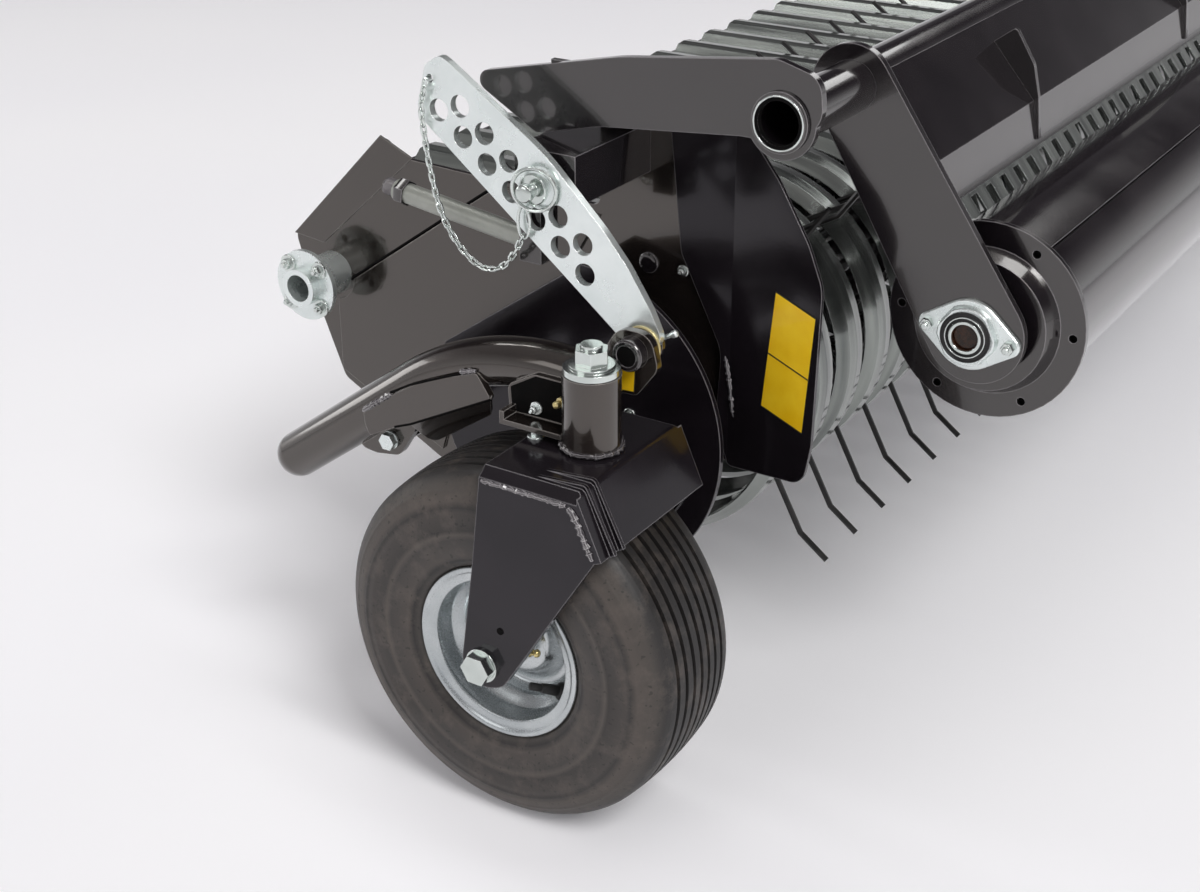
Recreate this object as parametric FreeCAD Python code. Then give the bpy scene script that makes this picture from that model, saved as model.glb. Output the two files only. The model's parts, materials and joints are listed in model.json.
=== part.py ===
"""Pickup unit of a round baler: reel, stripper bands, wind guard and gauge wheels.

Frame: origin on the pivot axis that carries the unit, at its mid-plane.
+X forward (travel), +Y to the machine's left, +Z up.  Millimetres.
Side pieces are drawn once on the left, with Y growing outwards, then mirrored.
"""
import FreeCAD
import Part
import math
import os

Vector = FreeCAD.Vector
OUT = "parts"
Y_AXIS = Vector(0, 1, 0)
RUNNING = 0.05                      # radial clearance of a shaft in its hole
SEAT = 0.3                          # gap between pieces that turn against each other

# ---------------------------------------------------------------- driving dimensions
BAND_PITCH = 70.0                   # one stripper band and one gap
BAND_COUNT = 27
REEL_X, REEL_Z = 377.0, -46.0       # reel axis, and the bands' front bend
TINE_BAR_COUNT = 4
TINE_BAR_ORBIT = 112.0
TINE_BAR_R = 15.0
TYRE_R = 184.0                      # 15 x 6.00-6
TYRE_W = 148.0
RIM_SEAT_R = 76.0
RIM_FLANGE_R = 89.0
WHEEL_X, WHEEL_Z = 400.0, -215.0    # gauge wheel axle
TRAIL = 64.0                        # kingpin ahead of the axle
CROWN_GAP = 13.0                    # tyre to the underside of the fork's crown
SHEET = 6.0                         # frame sheets
PLATE = 8.0                         # arms, bars and fork legs
HINGE_X = 583.0                     # wind guard hinge
HINGE_RISE = 81.675                 # and its height over the height pin
GUARD_REACH, GUARD_DROP = 133.0, 210.0      # hinge to the crop roller's axis
ROLLER_R = 84.0
ROLLER_LIP = 12.0                   # end plates of the roller over its drum
HEIGHT_BAR_TILT = -38.9             # degrees below level, going forward

KINGPIN_X = WHEEL_X + TRAIL
ROLLER_X = HINGE_X + GUARD_REACH
DISC_X, DISC_Z = REEL_X - 30.0, REEL_Z - 26.0
DISC_R = 167.0
ARM_PIVOT = (207.0, -82.0)          # the wheel carrier swings here when it is reset

# ---------------------------------------------------------------- stations along Y
BAND_EDGE_Y = (BAND_COUNT - 1) / 2 * BAND_PITCH + 25.0
SIDE_Y = BAND_EDGE_Y + 15.0         # outer face of the side plate
DISC_Y = SIDE_Y + 50.0              # outer face of the end disc
WHEEL_Y = DISC_Y + 76.0 + TYRE_W / 2        # gauge wheel centre
BAR_Y = WHEEL_Y - 56.0              # outer face of the height bar
GUARD_BAR_Y = DISC_Y + 40.0         # outer face of the guard bar
ARM_Y = SIDE_Y - 46.0               # outer face of the wind guard arm
ROLLER_END_Y = ARM_Y - 38.0         # outer face of the roller's end disc
PIVOT_Y = DISC_Y                    # outer face of the pivot flange


# ---------------------------------------------------------------- helpers
def rounded_face(points, radii, y):
    """Closed outline in XZ at height y, each corner rounded by its radius."""
    count = len(points)
    if not isinstance(radii, (list, tuple)):
        radii = [radii] * count
    pts = [Vector(p[0], y, p[1]) for p in points]
    starts, ends, mids = [], [], []
    for i, corner in enumerate(pts):
        before = pts[i - 1] - corner
        after = pts[(i + 1) % count] - corner
        len_before, len_after = before.Length, after.Length
        before.normalize()
        after.normalize()
        half = before.getAngle(after) / 2
        r = radii[i]
        if r <= 0 or half > math.pi / 2 - 0.01:
            starts.append(corner)
            ends.append(corner)
            mids.append(None)
            continue
        reach = min(r / math.tan(half), 0.49 * len_before, 0.49 * len_after)
        r = reach * math.tan(half)
        bisector = before + after
        bisector.normalize()
        centre = corner + bisector * (r / math.sin(half))
        starts.append(corner + before * reach)
        ends.append(corner + after * reach)
        mids.append(centre - bisector * r)
    edges = []
    for i in range(count):
        if mids[i] is not None:
            edges.append(Part.Arc(starts[i], mids[i], ends[i]).toShape())
        nxt = (i + 1) % count
        if (starts[nxt] - ends[i]).Length > 1e-4:
            edges.append(Part.LineSegment(ends[i], starts[nxt]).toShape())
    return Part.Face(Part.Wire(edges))


def plate(points, radii, y_in, y_out):
    """Flat plate in an XZ plane between two stations."""
    return rounded_face(points, radii, y_in).extrude(Vector(0, y_out - y_in, 0))


def cyl(x, z, r, y_in, y_out):
    """Round bar along Y."""
    return Part.makeCylinder(r, y_out - y_in, Vector(x, y_in, z), Y_AXIS)


def pipe(x, z, r_out, r_in, y_in, y_out):
    """Tube along Y."""
    return cyl(x, z, r_out, y_in, y_out).cut(cyl(x, z, r_in, y_in - 1, y_out + 1))


def upright(x, y, r, z_low, z_high):
    """Round bar along Z."""
    return Part.makeCylinder(r, z_high - z_low, Vector(x, y, z_low))


def box(x0, x1, y0, y1, z0, z1):
    return Part.makeBox(x1 - x0, y1 - y0, z1 - z0, Vector(x0, y0, z0))


def hexagon(x, z, across, y_in, y_out):
    """Hexagon bar along Y, by its width across flats."""
    corners = [polar((x, z), across / math.sqrt(3), 60 * k) for k in range(6)]
    return plate(corners, 0, y_in, y_out)


def revolve_y(profile, x, z):
    """Turn a closed (station, radius) profile about an axis along Y."""
    pts = [Vector(x + r, y, z) for y, r in profile]
    face = Part.Face(Part.makePolygon(pts + [pts[0]]))
    return face.revolve(Vector(x, 0, z), Y_AXIS, 360)


def rod(path, r):
    """Round rod through straight legs joined by balls."""
    solid = None
    for a, b in zip(path[:-1], path[1:]):
        leg = Part.makeCylinder(r, (b - a).Length, a, b - a)
        solid = leg if solid is None else solid.fuse(leg)
        if b is not path[-1]:
            solid = solid.fuse(Part.makeSphere(r, b))
    return solid


def tangent_hull(c1, r1, c2, r2, y_in, y_out):
    """Plate whose outline wraps two circles with straight tangents."""
    dx, dz = c2[0] - c1[0], c2[1] - c1[1]
    gap = math.hypot(dx, dz)
    base = math.atan2(dz, dx)
    spread = math.acos((r1 - r2) / gap)
    pts = []
    for sign, (c, r) in ((1, (c1, r1)), (1, (c2, r2)), (-1, (c2, r2)), (-1, (c1, r1))):
        a = base + sign * spread
        pts.append((c[0] + r * math.cos(a), c[1] + r * math.sin(a)))
    web = plate(pts, 0, y_in, y_out)
    return web.fuse([cyl(c1[0], c1[1], r1, y_in, y_out),
                     cyl(c2[0], c2[1], r2, y_in, y_out)]).removeSplitter()


def polar(centre, radius, degrees):
    """Point at a radius and angle from a centre, in XZ."""
    a = math.radians(degrees)
    return centre[0] + radius * math.cos(a), centre[1] + radius * math.sin(a)


def shifted(centre, offsets):
    """Outline points given as offsets from one anchor point."""
    return [(centre[0] + dx, centre[1] + dz) for dx, dz in offsets]


def arc_sheet(centre, r_in, r_out, start, stop, y_in, y_out):
    """Part of a tube wall along Y, between two angles."""
    steps = [start, (start + stop) / 2, stop]
    outer = [Vector(p[0], y_in, p[1]) for p in (polar(centre, r_out, a) for a in steps)]
    inner = [Vector(p[0], y_in, p[1]) for p in (polar(centre, r_in, a) for a in steps)]
    edges = [Part.Arc(*outer).toShape(), Part.LineSegment(outer[2], inner[2]).toShape(),
             Part.Arc(*inner).toShape(), Part.LineSegment(inner[0], outer[0]).toShape()]
    face = Part.Face(Part.Wire(Part.__sortEdges__(edges)))
    return face.extrude(Vector(0, y_out - y_in, 0))


def mirrored(shape):
    return shape.mirror(Vector(0, 0, 0), Y_AXIS)


def save(name, shape):
    if isinstance(shape, list):
        shape = Part.makeCompound(shape)
    shape.exportStep(os.path.join(OUT, name + ".step"))


def save_pair(name, shape):
    """One node on each side of the machine."""
    save(name + "_left", shape)
    save(name + "_right", mirrored(shape))


def save_twin(name, shape):
    """Small like pieces of one body: both sides in one node."""
    save(name, [shape, mirrored(shape)])


# ---------------------------------------------------------------- wheel carrier's shared places
SLEEVE_R = 27.0
SLEEVE_LENGTH = 72.5
CROWN_TOP = WHEEL_Z + TYRE_R + CROWN_GAP + PLATE
SLEEVE_LOW = CROWN_TOP + 0.5
SLEEVE_HIGH = SLEEVE_LOW + SLEEVE_LENGTH
LEG_GAP = TYRE_W / 2 + 6.0          # wheel centre to the inner face of a fork leg
AXLE_R = 10.0
HUB_R = 22.0
KINGPIN_R = 15.0
ARM_TUBE_R = 24.0
ARM_TUBE_Y = WHEEL_Y - 35.0
BOSS_R = 10.0
PIVOT_BOLT_R = 5.0
BUSH_R = 15.0
BAR_PIVOT = (KINGPIN_X + 18, SLEEVE_HIGH + 9)
HEIGHT_HOLE_R = 10.5
HEIGHT_HOLE_PITCH = 33.8
PIN_R = 9.0
ROD_Y = BAR_Y - 25.0
ROD_R = 10.0


def bar_row(steps, count):
    """Hole centres of one row, stepping down the bar to its pivot."""
    pitch_x, pitch_z = polar((0, 0), HEIGHT_HOLE_PITCH, HEIGHT_BAR_TILT)
    start = (BAR_PIVOT[0] + steps[0], BAR_PIVOT[1] + steps[1])
    return [(start[0] + k * pitch_x, start[1] + k * pitch_z) for k in range(count)]


ROW_LOW = bar_row((-219, 183), 7)
ROW_HIGH = bar_row((-195, 190), 6)
PIN_HOLE = ROW_HIGH[3]
HINGE_Z = PIN_HOLE[1] + HINGE_RISE
ROLLER_Z = HINGE_Z - GUARD_DROP
BRACKET_Z = PIN_HOLE[1] + 38.0      # top of the side plate's post


# ---------------------------------------------------------------- pickup frame
PIVOT_BORE = 15.0
PIVOT_TUBE_R = 28.0
PIVOT_HUB_R = 24.0
FLANGE_R = 39.0
FLANGE_BOLTS_R = 30.0
SHAFT_R = 17.5                      # stub shafts of the reel
LAP = 4.0                           # stiffening sheet lapped on the side plate
WING = 2.0                          # its upper wing
DRUM_R = 112.0                      # drum that carries the end disc
DISC_CHORD = 132.0                  # straight edge of the end disc, from its centre


def pivot_tube():
    """Cross tube on the pivot axis; a through shaft carries it on the baler."""
    end = SIDE_Y - SHEET
    return pipe(0, 0, PIVOT_TUBE_R, PIVOT_BORE, -end, end)


def pivot_flange():
    """Zinc-plated flange and hub at the end of the pivot tube."""
    hub = cyl(0, 0, PIVOT_HUB_R, SIDE_Y, PIVOT_Y - 6)
    flange = cyl(0, 0, FLANGE_R, PIVOT_Y - 6, PIVOT_Y)
    nose = cyl(0, 0, PIVOT_HUB_R - 3, PIVOT_Y, PIVOT_Y + 12)
    solid = hub.fuse([flange, nose])
    for k in range(4):
        x, z = polar((0, 0), FLANGE_BOLTS_R, 45 + 90 * k)
        solid = solid.cut(cyl(x, z, 4.5, PIVOT_Y - 8, PIVOT_Y + 2))
    return solid.cut(cyl(0, 0, PIVOT_BORE, SIDE_Y - 10, PIVOT_Y + 20))


def side_plate():
    """Side sheet from the pivot to the front of the reel, with a lapped stiffener."""
    top = REEL_Z + BAND_R + 13
    post_x, post_z = PIN_HOLE[0] - 21, BRACKET_Z
    reel = (REEL_X, REEL_Z)
    outline = [(-53, 36), (75, 166), (96, top + 8), (post_x, top), (post_x, post_z),
               (post_x + 85, post_z), polar(reel, 141, 49), polar(reel, 105, -53),
               polar(reel, 121, -106), polar(reel, 239, -131), (142, -194), (6, -124), (-36, -20)]
    sheet = plate(outline, [16, 12, 40, 8, 8, 8, 20, 40, 40, 20, 10, 15, 20], SIDE_Y - SHEET, SIDE_Y)
    arch = cyl(REEL_X - 32, REEL_Z + 29, 145, SIDE_Y - SHEET, SIDE_Y)
    sheet = sheet.fuse([cyl(0, 0, PIVOT_TUBE_R + 14, SIDE_Y - SHEET, SIDE_Y), arch])
    lap = plate([(6, -29), (15, -12), (157, 89), (225, 137), (post_x, 128), (306, 61),
                 (188, -22), (142, -178), (6, -113)], 0, SIDE_Y, SIDE_Y + LAP)
    hub_room = cyl(0, 0, PIVOT_HUB_R + 6, SIDE_Y - 1, SIDE_Y + LAP + 1)
    drum_room = cyl(DISC_X, DISC_Z, DRUM_R + 2, SIDE_Y - 1, SIDE_Y + LAP + 1)
    lap = lap.cut([hub_room, drum_room])
    wing = plate([(-53, 36), (75, 166), (116, 148), (-12, 32)], 0, SIDE_Y, SIDE_Y + WING).cut(hub_room)
    sheet = sheet.fuse([lap, wing]).removeSplitter()
    holes = [cyl(0, 0, PIVOT_BORE, SIDE_Y - 10, SIDE_Y + 10),
             cyl(REEL_X, REEL_Z, SHAFT_R + RUNNING, SIDE_Y - 10, SIDE_Y + 10),
             cyl(ARM_PIVOT[0], ARM_PIVOT[1], BOSS_R + 1, SIDE_Y, SIDE_Y + 10)]
    return sheet.cut(holes)


def end_disc():
    """Cover over the reel's drive, standing off the side plate on a drum."""
    centre = (DISC_X, DISC_Z)
    drum = pipe(DISC_X, DISC_Z, DRUM_R, DRUM_R - SHEET, SIDE_Y, DISC_Y - SHEET)
    disc = cyl(DISC_X, DISC_Z, DISC_R, DISC_Y - SHEET, DISC_Y)
    edge = [polar(centre, DISC_CHORD / math.cos(math.radians(45)), 125 + a) for a in (-45, 45)]
    far = [polar(centre, 2 * DISC_R, 125 + a) for a in (45, -45)]
    disc = disc.cut(plate(edge + far, 0, DISC_Y - 20, DISC_Y + 20))
    px, pz = ARM_PIVOT
    room = BOSS_R + 6
    notch = box(px - DISC_R / 2, px, DISC_Y - 20, DISC_Y + 20, pz - room, pz + room)
    disc = disc.cut(notch.fuse(cyl(px, pz, room, DISC_Y - 20, DISC_Y + 20)))
    return drum.fuse(disc)


def side_guard():
    """Flared sheet ahead of the side plate that turns crop in towards the bands."""
    start, fold, lip = REEL_X + 48, REEL_X + 123, REEL_X + 235
    plan = [(start, SIDE_Y), (fold, SIDE_Y + 4), (lip, SIDE_Y + 34),
            (lip - 1, SIDE_Y + 38), (fold - 2, SIDE_Y + 8), (start, SIDE_Y + 4)]
    pts = [Vector(x, y, REEL_Z - 150) for x, y in plan]
    sheet = Part.Face(Part.makePolygon(pts + [pts[0]])).extrude(Vector(0, 0, 450))
    rise = BRACKET_Z - REEL_Z
    outline = shifted((REEL_X, REEL_Z),
                      [(48, rise + 4), (128, rise + 12), (173, rise - 33), (210, 199), (228, 162), (225, 5),
                       (217, -39), (123, -54), (107, -14), (111, 66), (63, 156)])
    cutter = plate(outline, [0, 10, 60, 60, 40, 60, 22, 6, 6, 40, 20],
                   SIDE_Y - 20, SIDE_Y + 60)
    return sheet.common(cutter)


# ---------------------------------------------------------------- stripper bands
BAND_R = 171.0                      # crown radius of the front bend
BAND_CROWN = 12.0                   # height of the crown over the band's edges
BAND_HALF = 26.0
BAND_SHEET = 3.0
BAND_REAR_X = 50.0
BAND_TAIL_RISE = 11.0               # degrees the lower run climbs to the rear


def band(y):
    """One stripper band: a crowned strip bent to a C round the reel."""
    section = [(-BAND_HALF, BAND_R - BAND_CROWN), (-BAND_HALF * 0.55, BAND_R - 1.5),
               (0, BAND_R), (BAND_HALF * 0.55, BAND_R - 1.5), (BAND_HALF, BAND_R - BAND_CROWN),
               (BAND_HALF - 2, BAND_R - BAND_CROWN - 2),
               (BAND_HALF * 0.5, BAND_R - 1.5 - BAND_SHEET), (0, BAND_R - BAND_SHEET),
               (-BAND_HALF * 0.5, BAND_R - 1.5 - BAND_SHEET),
               (2 - BAND_HALF, BAND_R - BAND_CROWN - 2)]
    centre = Vector(REEL_X, y, REEL_Z)
    turn = 180 + BAND_TAIL_RISE
    up = [Vector(REEL_X, y + s, REEL_Z + r) for s, r in section]
    profile = Part.Face(Part.makePolygon(up + [up[0]]))
    bend = profile.revolve(centre, Y_AXIS, turn)
    top = profile.extrude(Vector(BAND_REAR_X - REEL_X, 0, 0))
    rise = math.radians(BAND_TAIL_RISE)
    start_x = REEL_X - BAND_R * math.sin(rise)
    length = (start_x - BAND_REAR_X) / math.cos(rise)
    profile.rotate(centre, Y_AXIS, turn)
    bottom = profile.extrude(Vector(-length * math.cos(rise), 0, length * math.sin(rise)))
    return bend.fuse([top, bottom]).removeSplitter()


def stripper_bands():
    first = -(BAND_COUNT - 1) / 2 * BAND_PITCH
    return [band(first + k * BAND_PITCH) for k in range(BAND_COUNT)]


def band_rail_upper():
    """Folded strip behind the reel, under the bands' upper ends."""
    z = REEL_Z + BAND_R - BAND_CROWN - 2
    half = SIDE_Y - SHEET
    flat = box(BAND_REAR_X - 12, BAND_REAR_X + 34, -half, half, z - 5, z)
    web = box(BAND_REAR_X - 12, BAND_REAR_X - 7, -half, half, z - 34, z)
    return flat.fuse(web).removeSplitter()


def band_rail_lower():
    """The same strip over the bands' lower ends, leaning with them."""
    half = SIDE_Y - SHEET
    rise = math.radians(BAND_TAIL_RISE)
    z = REEL_Z - BAND_R + BAND_CROWN + 2
    run = REEL_X - BAND_REAR_X + 6
    flat = box(REEL_X - run, REEL_X - run + 46, -half, half, z, z + 5)
    web = box(REEL_X - run, REEL_X - run + 5, -half, half, z, z + 34)
    rail = flat.fuse(web).removeSplitter()
    rail.rotate(Vector(REEL_X, 0, REEL_Z), Y_AXIS, BAND_TAIL_RISE)
    return rail


# ---------------------------------------------------------------- reel
def reel_shaft():
    """Centre tube with stub shafts that run in the side plates."""
    core = cyl(REEL_X, REEL_Z, CORE_R, -SIDE_Y + 16, SIDE_Y - 16)
    return core.fuse(cyl(REEL_X, REEL_Z, SHAFT_R, -SIDE_Y - 14, SIDE_Y + 14))


def bar_angles():
    return [-21.5 + 360 / TINE_BAR_COUNT * k for k in range(TINE_BAR_COUNT)]


def bar_centre(angle):
    return polar((REEL_X, REEL_Z), TINE_BAR_ORBIT, angle)


SPIDER_STATIONS = (-SIDE_Y + 28, -BAND_PITCH * 5, BAND_PITCH * 5, SIDE_Y - 28)
CORE_R = 30.0


def reel_spiders():
    """Arms that carry the tine bars round the centre tube."""
    spiders = []
    for y in SPIDER_STATIONS:
        plate_solid = None
        for angle in bar_angles():
            bx, bz = bar_centre(angle)
            arm = tangent_hull((REEL_X, REEL_Z), CORE_R + 18, (bx, bz), TINE_BAR_R + 11, y - 4, y + 4)
            plate_solid = arm if plate_solid is None else plate_solid.fuse(arm)
        for angle in bar_angles():
            bx, bz = bar_centre(angle)
            plate_solid = plate_solid.cut(cyl(bx, bz, TINE_BAR_R, y - 9, y + 9))
        plate_solid = plate_solid.cut(cyl(REEL_X, REEL_Z, CORE_R, y - 9, y + 9))
        spiders.append(plate_solid.removeSplitter())
    return spiders


def tine_bars():
    bars = []
    for angle in bar_angles():
        bx, bz = bar_centre(angle)
        bars.append(cyl(bx, bz, TINE_BAR_R, -SIDE_Y + 20, SIDE_Y - 20))
    return bars


TINE_WIRE = 3.0
TINE_LEAN = 40.0                    # degrees the tine leans back from its bar's radius
TINE_HOOK = 25.0                    # degrees its tip bends forward
TINE_LEG = 130.0
TINE_TIP = 39.0
COIL_R = TINE_BAR_R + 8.0


def prism(a, b, r):
    """Six-sided wire from a to b."""
    along = b - a
    length = along.Length
    along.normalize()
    side = Y_AXIS
    other = along.cross(side)
    pts = []
    for k in range(6):
        t = math.radians(60 * k)
        pts.append(a + side * (r * math.cos(t)) + other * (r * math.sin(t)))
    return Part.Face(Part.makePolygon(pts + [pts[0]])).extrude(along * length)


def tine_pair(angle, y_mid):
    """Double spring tine: two bent wires and the coil between them round the bar."""
    bar = bar_centre(angle)
    gap = BAND_PITCH / 2
    ring = [polar(bar, COIL_R, 45 * k + 22.5) for k in range(8)]
    hole = [polar(bar, TINE_BAR_R + 1.4, 45 * k + 22.5) for k in range(8)]
    coil = plate(ring, 0, y_mid - gap - TINE_WIRE, y_mid + gap + TINE_WIRE)
    coil = coil.cut(plate(hole, 0, y_mid - gap - 5, y_mid + gap + 5))
    start = polar(bar, COIL_R - 5, angle - TINE_LEAN)
    knee = polar(bar, TINE_LEG, angle - TINE_LEAN)
    end = polar(knee, TINE_TIP, angle - TINE_LEAN + TINE_HOOK)
    wires = []
    for y in (y_mid - gap, y_mid + gap):
        a, b, c = [Vector(p[0], y, p[1]) for p in (start, knee, end)]
        wires += [prism(a, b, TINE_WIRE), prism(b, c, TINE_WIRE)]
    return coil.fuse(wires)


def tine_row(angle):
    """All the double tines on one bar, one wire to every gap between bands."""
    pairs = (BAND_COUNT - 1) // 2
    first = -(pairs - 1) * BAND_PITCH
    return [tine_pair(angle, first + 2 * k * BAND_PITCH) for k in range(pairs)]


# ---------------------------------------------------------------- wind guard and crop roller
HINGE_R = 24.0
HINGE_WALL = 4.5
GUARD_SHEET = 3.0
ROLLER_SHAFT_R = 20.0
ROLLER_RUN = 6.0                    # roller drum to the cover over it
COMB_TEETH = 51
COMB_SLOT = 16.0
COMB_ANGLE = 106.0                  # direction of the comb's foot from the roller's axis
GUARD_RIBS = (-655.0, -160.0, 160.0, 655.0)
HINGE = (HINGE_X, HINGE_Z)
ROLLER = (ROLLER_X, ROLLER_Z)
COMB_TOP = (ROLLER_X - 40, ROLLER_Z + 107)
COMB_FOOT = polar(ROLLER, ROLLER_R + ROLLER_RUN + 1.5, COMB_ANGLE)
PANEL_FOLD = (COMB_TOP[0] - 8, COMB_TOP[1] + 45)


def guard_bar():
    """Flat bar from the pickup's side up to the wind guard's hinge tube."""
    rear = shifted((REEL_X, HINGE_Z), [(-124, -3), (46, 34)])
    under = shifted((REEL_X, HINGE_Z), [(25, -32), (-44, -48.5)])
    nose = shifted(HINGE, [(-5, 53), (35, 42), (39, 10), (22, -18), (-38, -18)])
    bar = plate(rear + nose + under, [10, 200, 20, 20, 25, 30, 20, 100, 10],
                GUARD_BAR_Y - PLATE, GUARD_BAR_Y)
    bar = bar.fuse(cyl(HINGE_X, HINGE_Z, HINGE_R + 9, GUARD_BAR_Y - PLATE, GUARD_BAR_Y))
    return bar.cut(cyl(HINGE_X, HINGE_Z, HINGE_R + RUNNING, GUARD_BAR_Y - 20, GUARD_BAR_Y + 20))


def guard_bracket():
    """Folded bracket that ties the guard bar down to the side plate."""
    x0, x1 = REEL_X - 32, REEL_X + 48
    ear_y = GUARD_BAR_Y - PLATE - SHEET
    shelf_z = BRACKET_Z + 22
    wall = box(x0, x1, SIDE_Y - SHEET, SIDE_Y, BRACKET_Z, shelf_z)
    shelf = box(x0, x1, SIDE_Y - SHEET, ear_y, shelf_z, shelf_z + SHEET)
    ear = box(x0, x1, ear_y, ear_y + SHEET, shelf_z, HINGE_Z + 20)
    return wall.fuse([shelf, ear]).removeSplitter()


def hinge_tube():
    """Tube that turns in both guard bars, with a collar outside each."""
    end = GUARD_BAR_Y + 5
    tube = cyl(HINGE_X, HINGE_Z, HINGE_R, -end, end)
    for y in (-GUARD_BAR_Y - SEAT - 3, GUARD_BAR_Y + SEAT):
        tube = tube.fuse(cyl(HINGE_X, HINGE_Z, HINGE_R + 3, y, y + 3))
    return tube.cut(cyl(HINGE_X, HINGE_Z, HINGE_R - HINGE_WALL, -end - 1, end + 1))


def guard_arm():
    """Arm plate from the hinge tube to the crop roller's bearing."""
    arm = tangent_hull(HINGE, HINGE_R + 15, (ROLLER_X + 4, ROLLER_Z), 48, ARM_Y - PLATE, ARM_Y)
    arm = arm.cut(cyl(HINGE_X, HINGE_Z, HINGE_R, ARM_Y - 20, ARM_Y + 20))
    return arm.cut(cyl(ROLLER_X, ROLLER_Z, ROLLER_SHAFT_R + 10, ARM_Y - 20, ARM_Y + 20))


def flange_bearing():
    """Pressed two-bolt flange bearing, zinc-plated."""
    ears = shifted(ROLLER, [(-46, 6), (46, -6)])
    hub_r = ROLLER_SHAFT_R + 8
    solid = tangent_hull(ROLLER, 34, ears[0], 12, ARM_Y, ARM_Y + 5)
    solid = solid.fuse([tangent_hull(ROLLER, 34, ears[1], 12, ARM_Y, ARM_Y + 5),
                        cyl(ROLLER_X, ROLLER_Z, hub_r, ARM_Y, ARM_Y + 12)])
    solid = solid.cut(cyl(ROLLER_X, ROLLER_Z, ROLLER_SHAFT_R + RUNNING, ARM_Y - 20, ARM_Y + 20))
    for x, z in ears:
        solid = solid.cut(cyl(x, z, 5, ARM_Y - 5, ARM_Y + 10))
    return solid


def comb_strip():
    """Toothed strip between the guard's panel and the roller cover."""
    half = ARM_Y - PLATE
    run = (COMB_FOOT[0] - COMB_TOP[0], COMB_FOOT[1] - COMB_TOP[1])
    reach = math.hypot(*run)
    along = (run[0] / reach, run[1] / reach)
    back = (along[1] * GUARD_SHEET, -along[0] * GUARD_SHEET)
    end = COMB_FOOT
    strip = plate([COMB_TOP, end, (end[0] + back[0], end[1] + back[1]),
                   (COMB_TOP[0] + back[0], COMB_TOP[1] + back[1])], 0, -half, half)
    root = (COMB_TOP[0] + along[0] * 4, COMB_TOP[1] + along[1] * 4)
    past = (end[0] + along[0], end[1] + along[1])
    slot = [(root[0] - back[0], root[1] - back[1]), (past[0] - back[0], past[1] - back[1]),
            (past[0] + 2 * back[0], past[1] + 2 * back[1]), (root[0] + 2 * back[0], root[1] + 2 * back[1])]
    pitch = 2 * half / COMB_TEETH
    slots = []
    for k in range(1, COMB_TEETH):
        y = -half + k * pitch
        slots.append(plate(slot, 0, y - COMB_SLOT / 2, y + COMB_SLOT / 2))
    near = ROLLER_END_Y - SHEET - 5
    disc_room = ROLLER_R + ROLLER_LIP + 5
    rooms = [cyl(ROLLER_X, ROLLER_Z, disc_room, near, half),
             cyl(ROLLER_X, ROLLER_Z, disc_room, -half, -near)]
    return strip.cut(slots + rooms)


def deflector_sheet():
    """Rolled cover over the top of the crop roller."""
    half = ROLLER_END_Y - SHEET - 5
    inner = ROLLER_R + ROLLER_RUN
    return arc_sheet(ROLLER, inner, inner + GUARD_SHEET, 57, COMB_ANGLE - 0.15, -half, half)


def guard_panel():
    """Folded sheet from the comb up to the hinge tube."""
    half = ARM_Y - PLATE
    top = polar(HINGE, HINGE_R + 2, 31)
    back = (-GUARD_SHEET, -0.6)
    low = (COMB_TOP[0] + 0.3, COMB_TOP[1] + 0.4)
    outline = [low, PANEL_FOLD, top, (top[0] + back[0], top[1] - 2 * GUARD_SHEET / 3),
               (PANEL_FOLD[0] + back[0], PANEL_FOLD[1] + 2 * back[1]), (low[0] + back[0], low[1])]
    panel = plate(outline, 0, -half, half)
    return panel.cut(cyl(HINGE_X, HINGE_Z, HINGE_R, -half - 1, half + 1))


def guard_rib(y):
    """Upright gusset on the front of the panel."""
    top = polar(HINGE, HINGE_R + 2, 31)
    share = 0.75
    high = (PANEL_FOLD[0] + share * (top[0] - PANEL_FOLD[0]),
            PANEL_FOLD[1] + share * (top[1] - PANEL_FOLD[1]))
    front = shifted(PANEL_FOLD, [(6, -38), (10, -38), (5, 4), (-3, 36), (-25, 70)])
    rib = plate(front + [high, PANEL_FOLD], [0, 2, 20, 20, 4, 0, 0], y - 2.5, y + 2.5)
    return rib.cut(guard_panel())


def crop_roller():
    """Full-width drum with its stub shafts."""
    end = ROLLER_END_Y - SHEET
    drum = cyl(ROLLER_X, ROLLER_Z, ROLLER_R, -end, end)
    stub = ARM_Y + 10
    drum = drum.fuse(cyl(ROLLER_X, ROLLER_Z, ROLLER_SHAFT_R, -stub, stub))
    for y in (-stub - 1, stub - 45):
        drum = drum.cut(cyl(ROLLER_X, ROLLER_Z, ROLLER_SHAFT_R - 6, y, y + 46))
    return drum


def roller_disc():
    """End plate of the roller, wider than the drum, with its dished hub."""
    disc = cyl(ROLLER_X, ROLLER_Z, ROLLER_R + ROLLER_LIP, ROLLER_END_Y - SHEET, ROLLER_END_Y)
    hub_y = ROLLER_END_Y + 16
    dish = revolve_y([(ROLLER_END_Y, 0), (ROLLER_END_Y, ROLLER_R - 12), (hub_y, ROLLER_R - 20),
                      (hub_y, 0)], ROLLER_X, ROLLER_Z)
    disc = disc.fuse(dish)
    disc = disc.cut(cyl(ROLLER_X, ROLLER_Z, ROLLER_SHAFT_R, ROLLER_END_Y - 20, ROLLER_END_Y + 20))
    for k in range(6):
        x, z = polar(ROLLER, ROLLER_R, 60 * k)
        disc = disc.cut(cyl(x, z, 4, ROLLER_END_Y - 20, ROLLER_END_Y + 20))
    return disc


# ---------------------------------------------------------------- gauge wheel carrier
ARM_BEND_R = 280.0
ARM_CLIMB = 36.5                    # degrees of the tail's run
FIN_PROUD = 3.0                     # gusset's face over the tube's side


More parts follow.
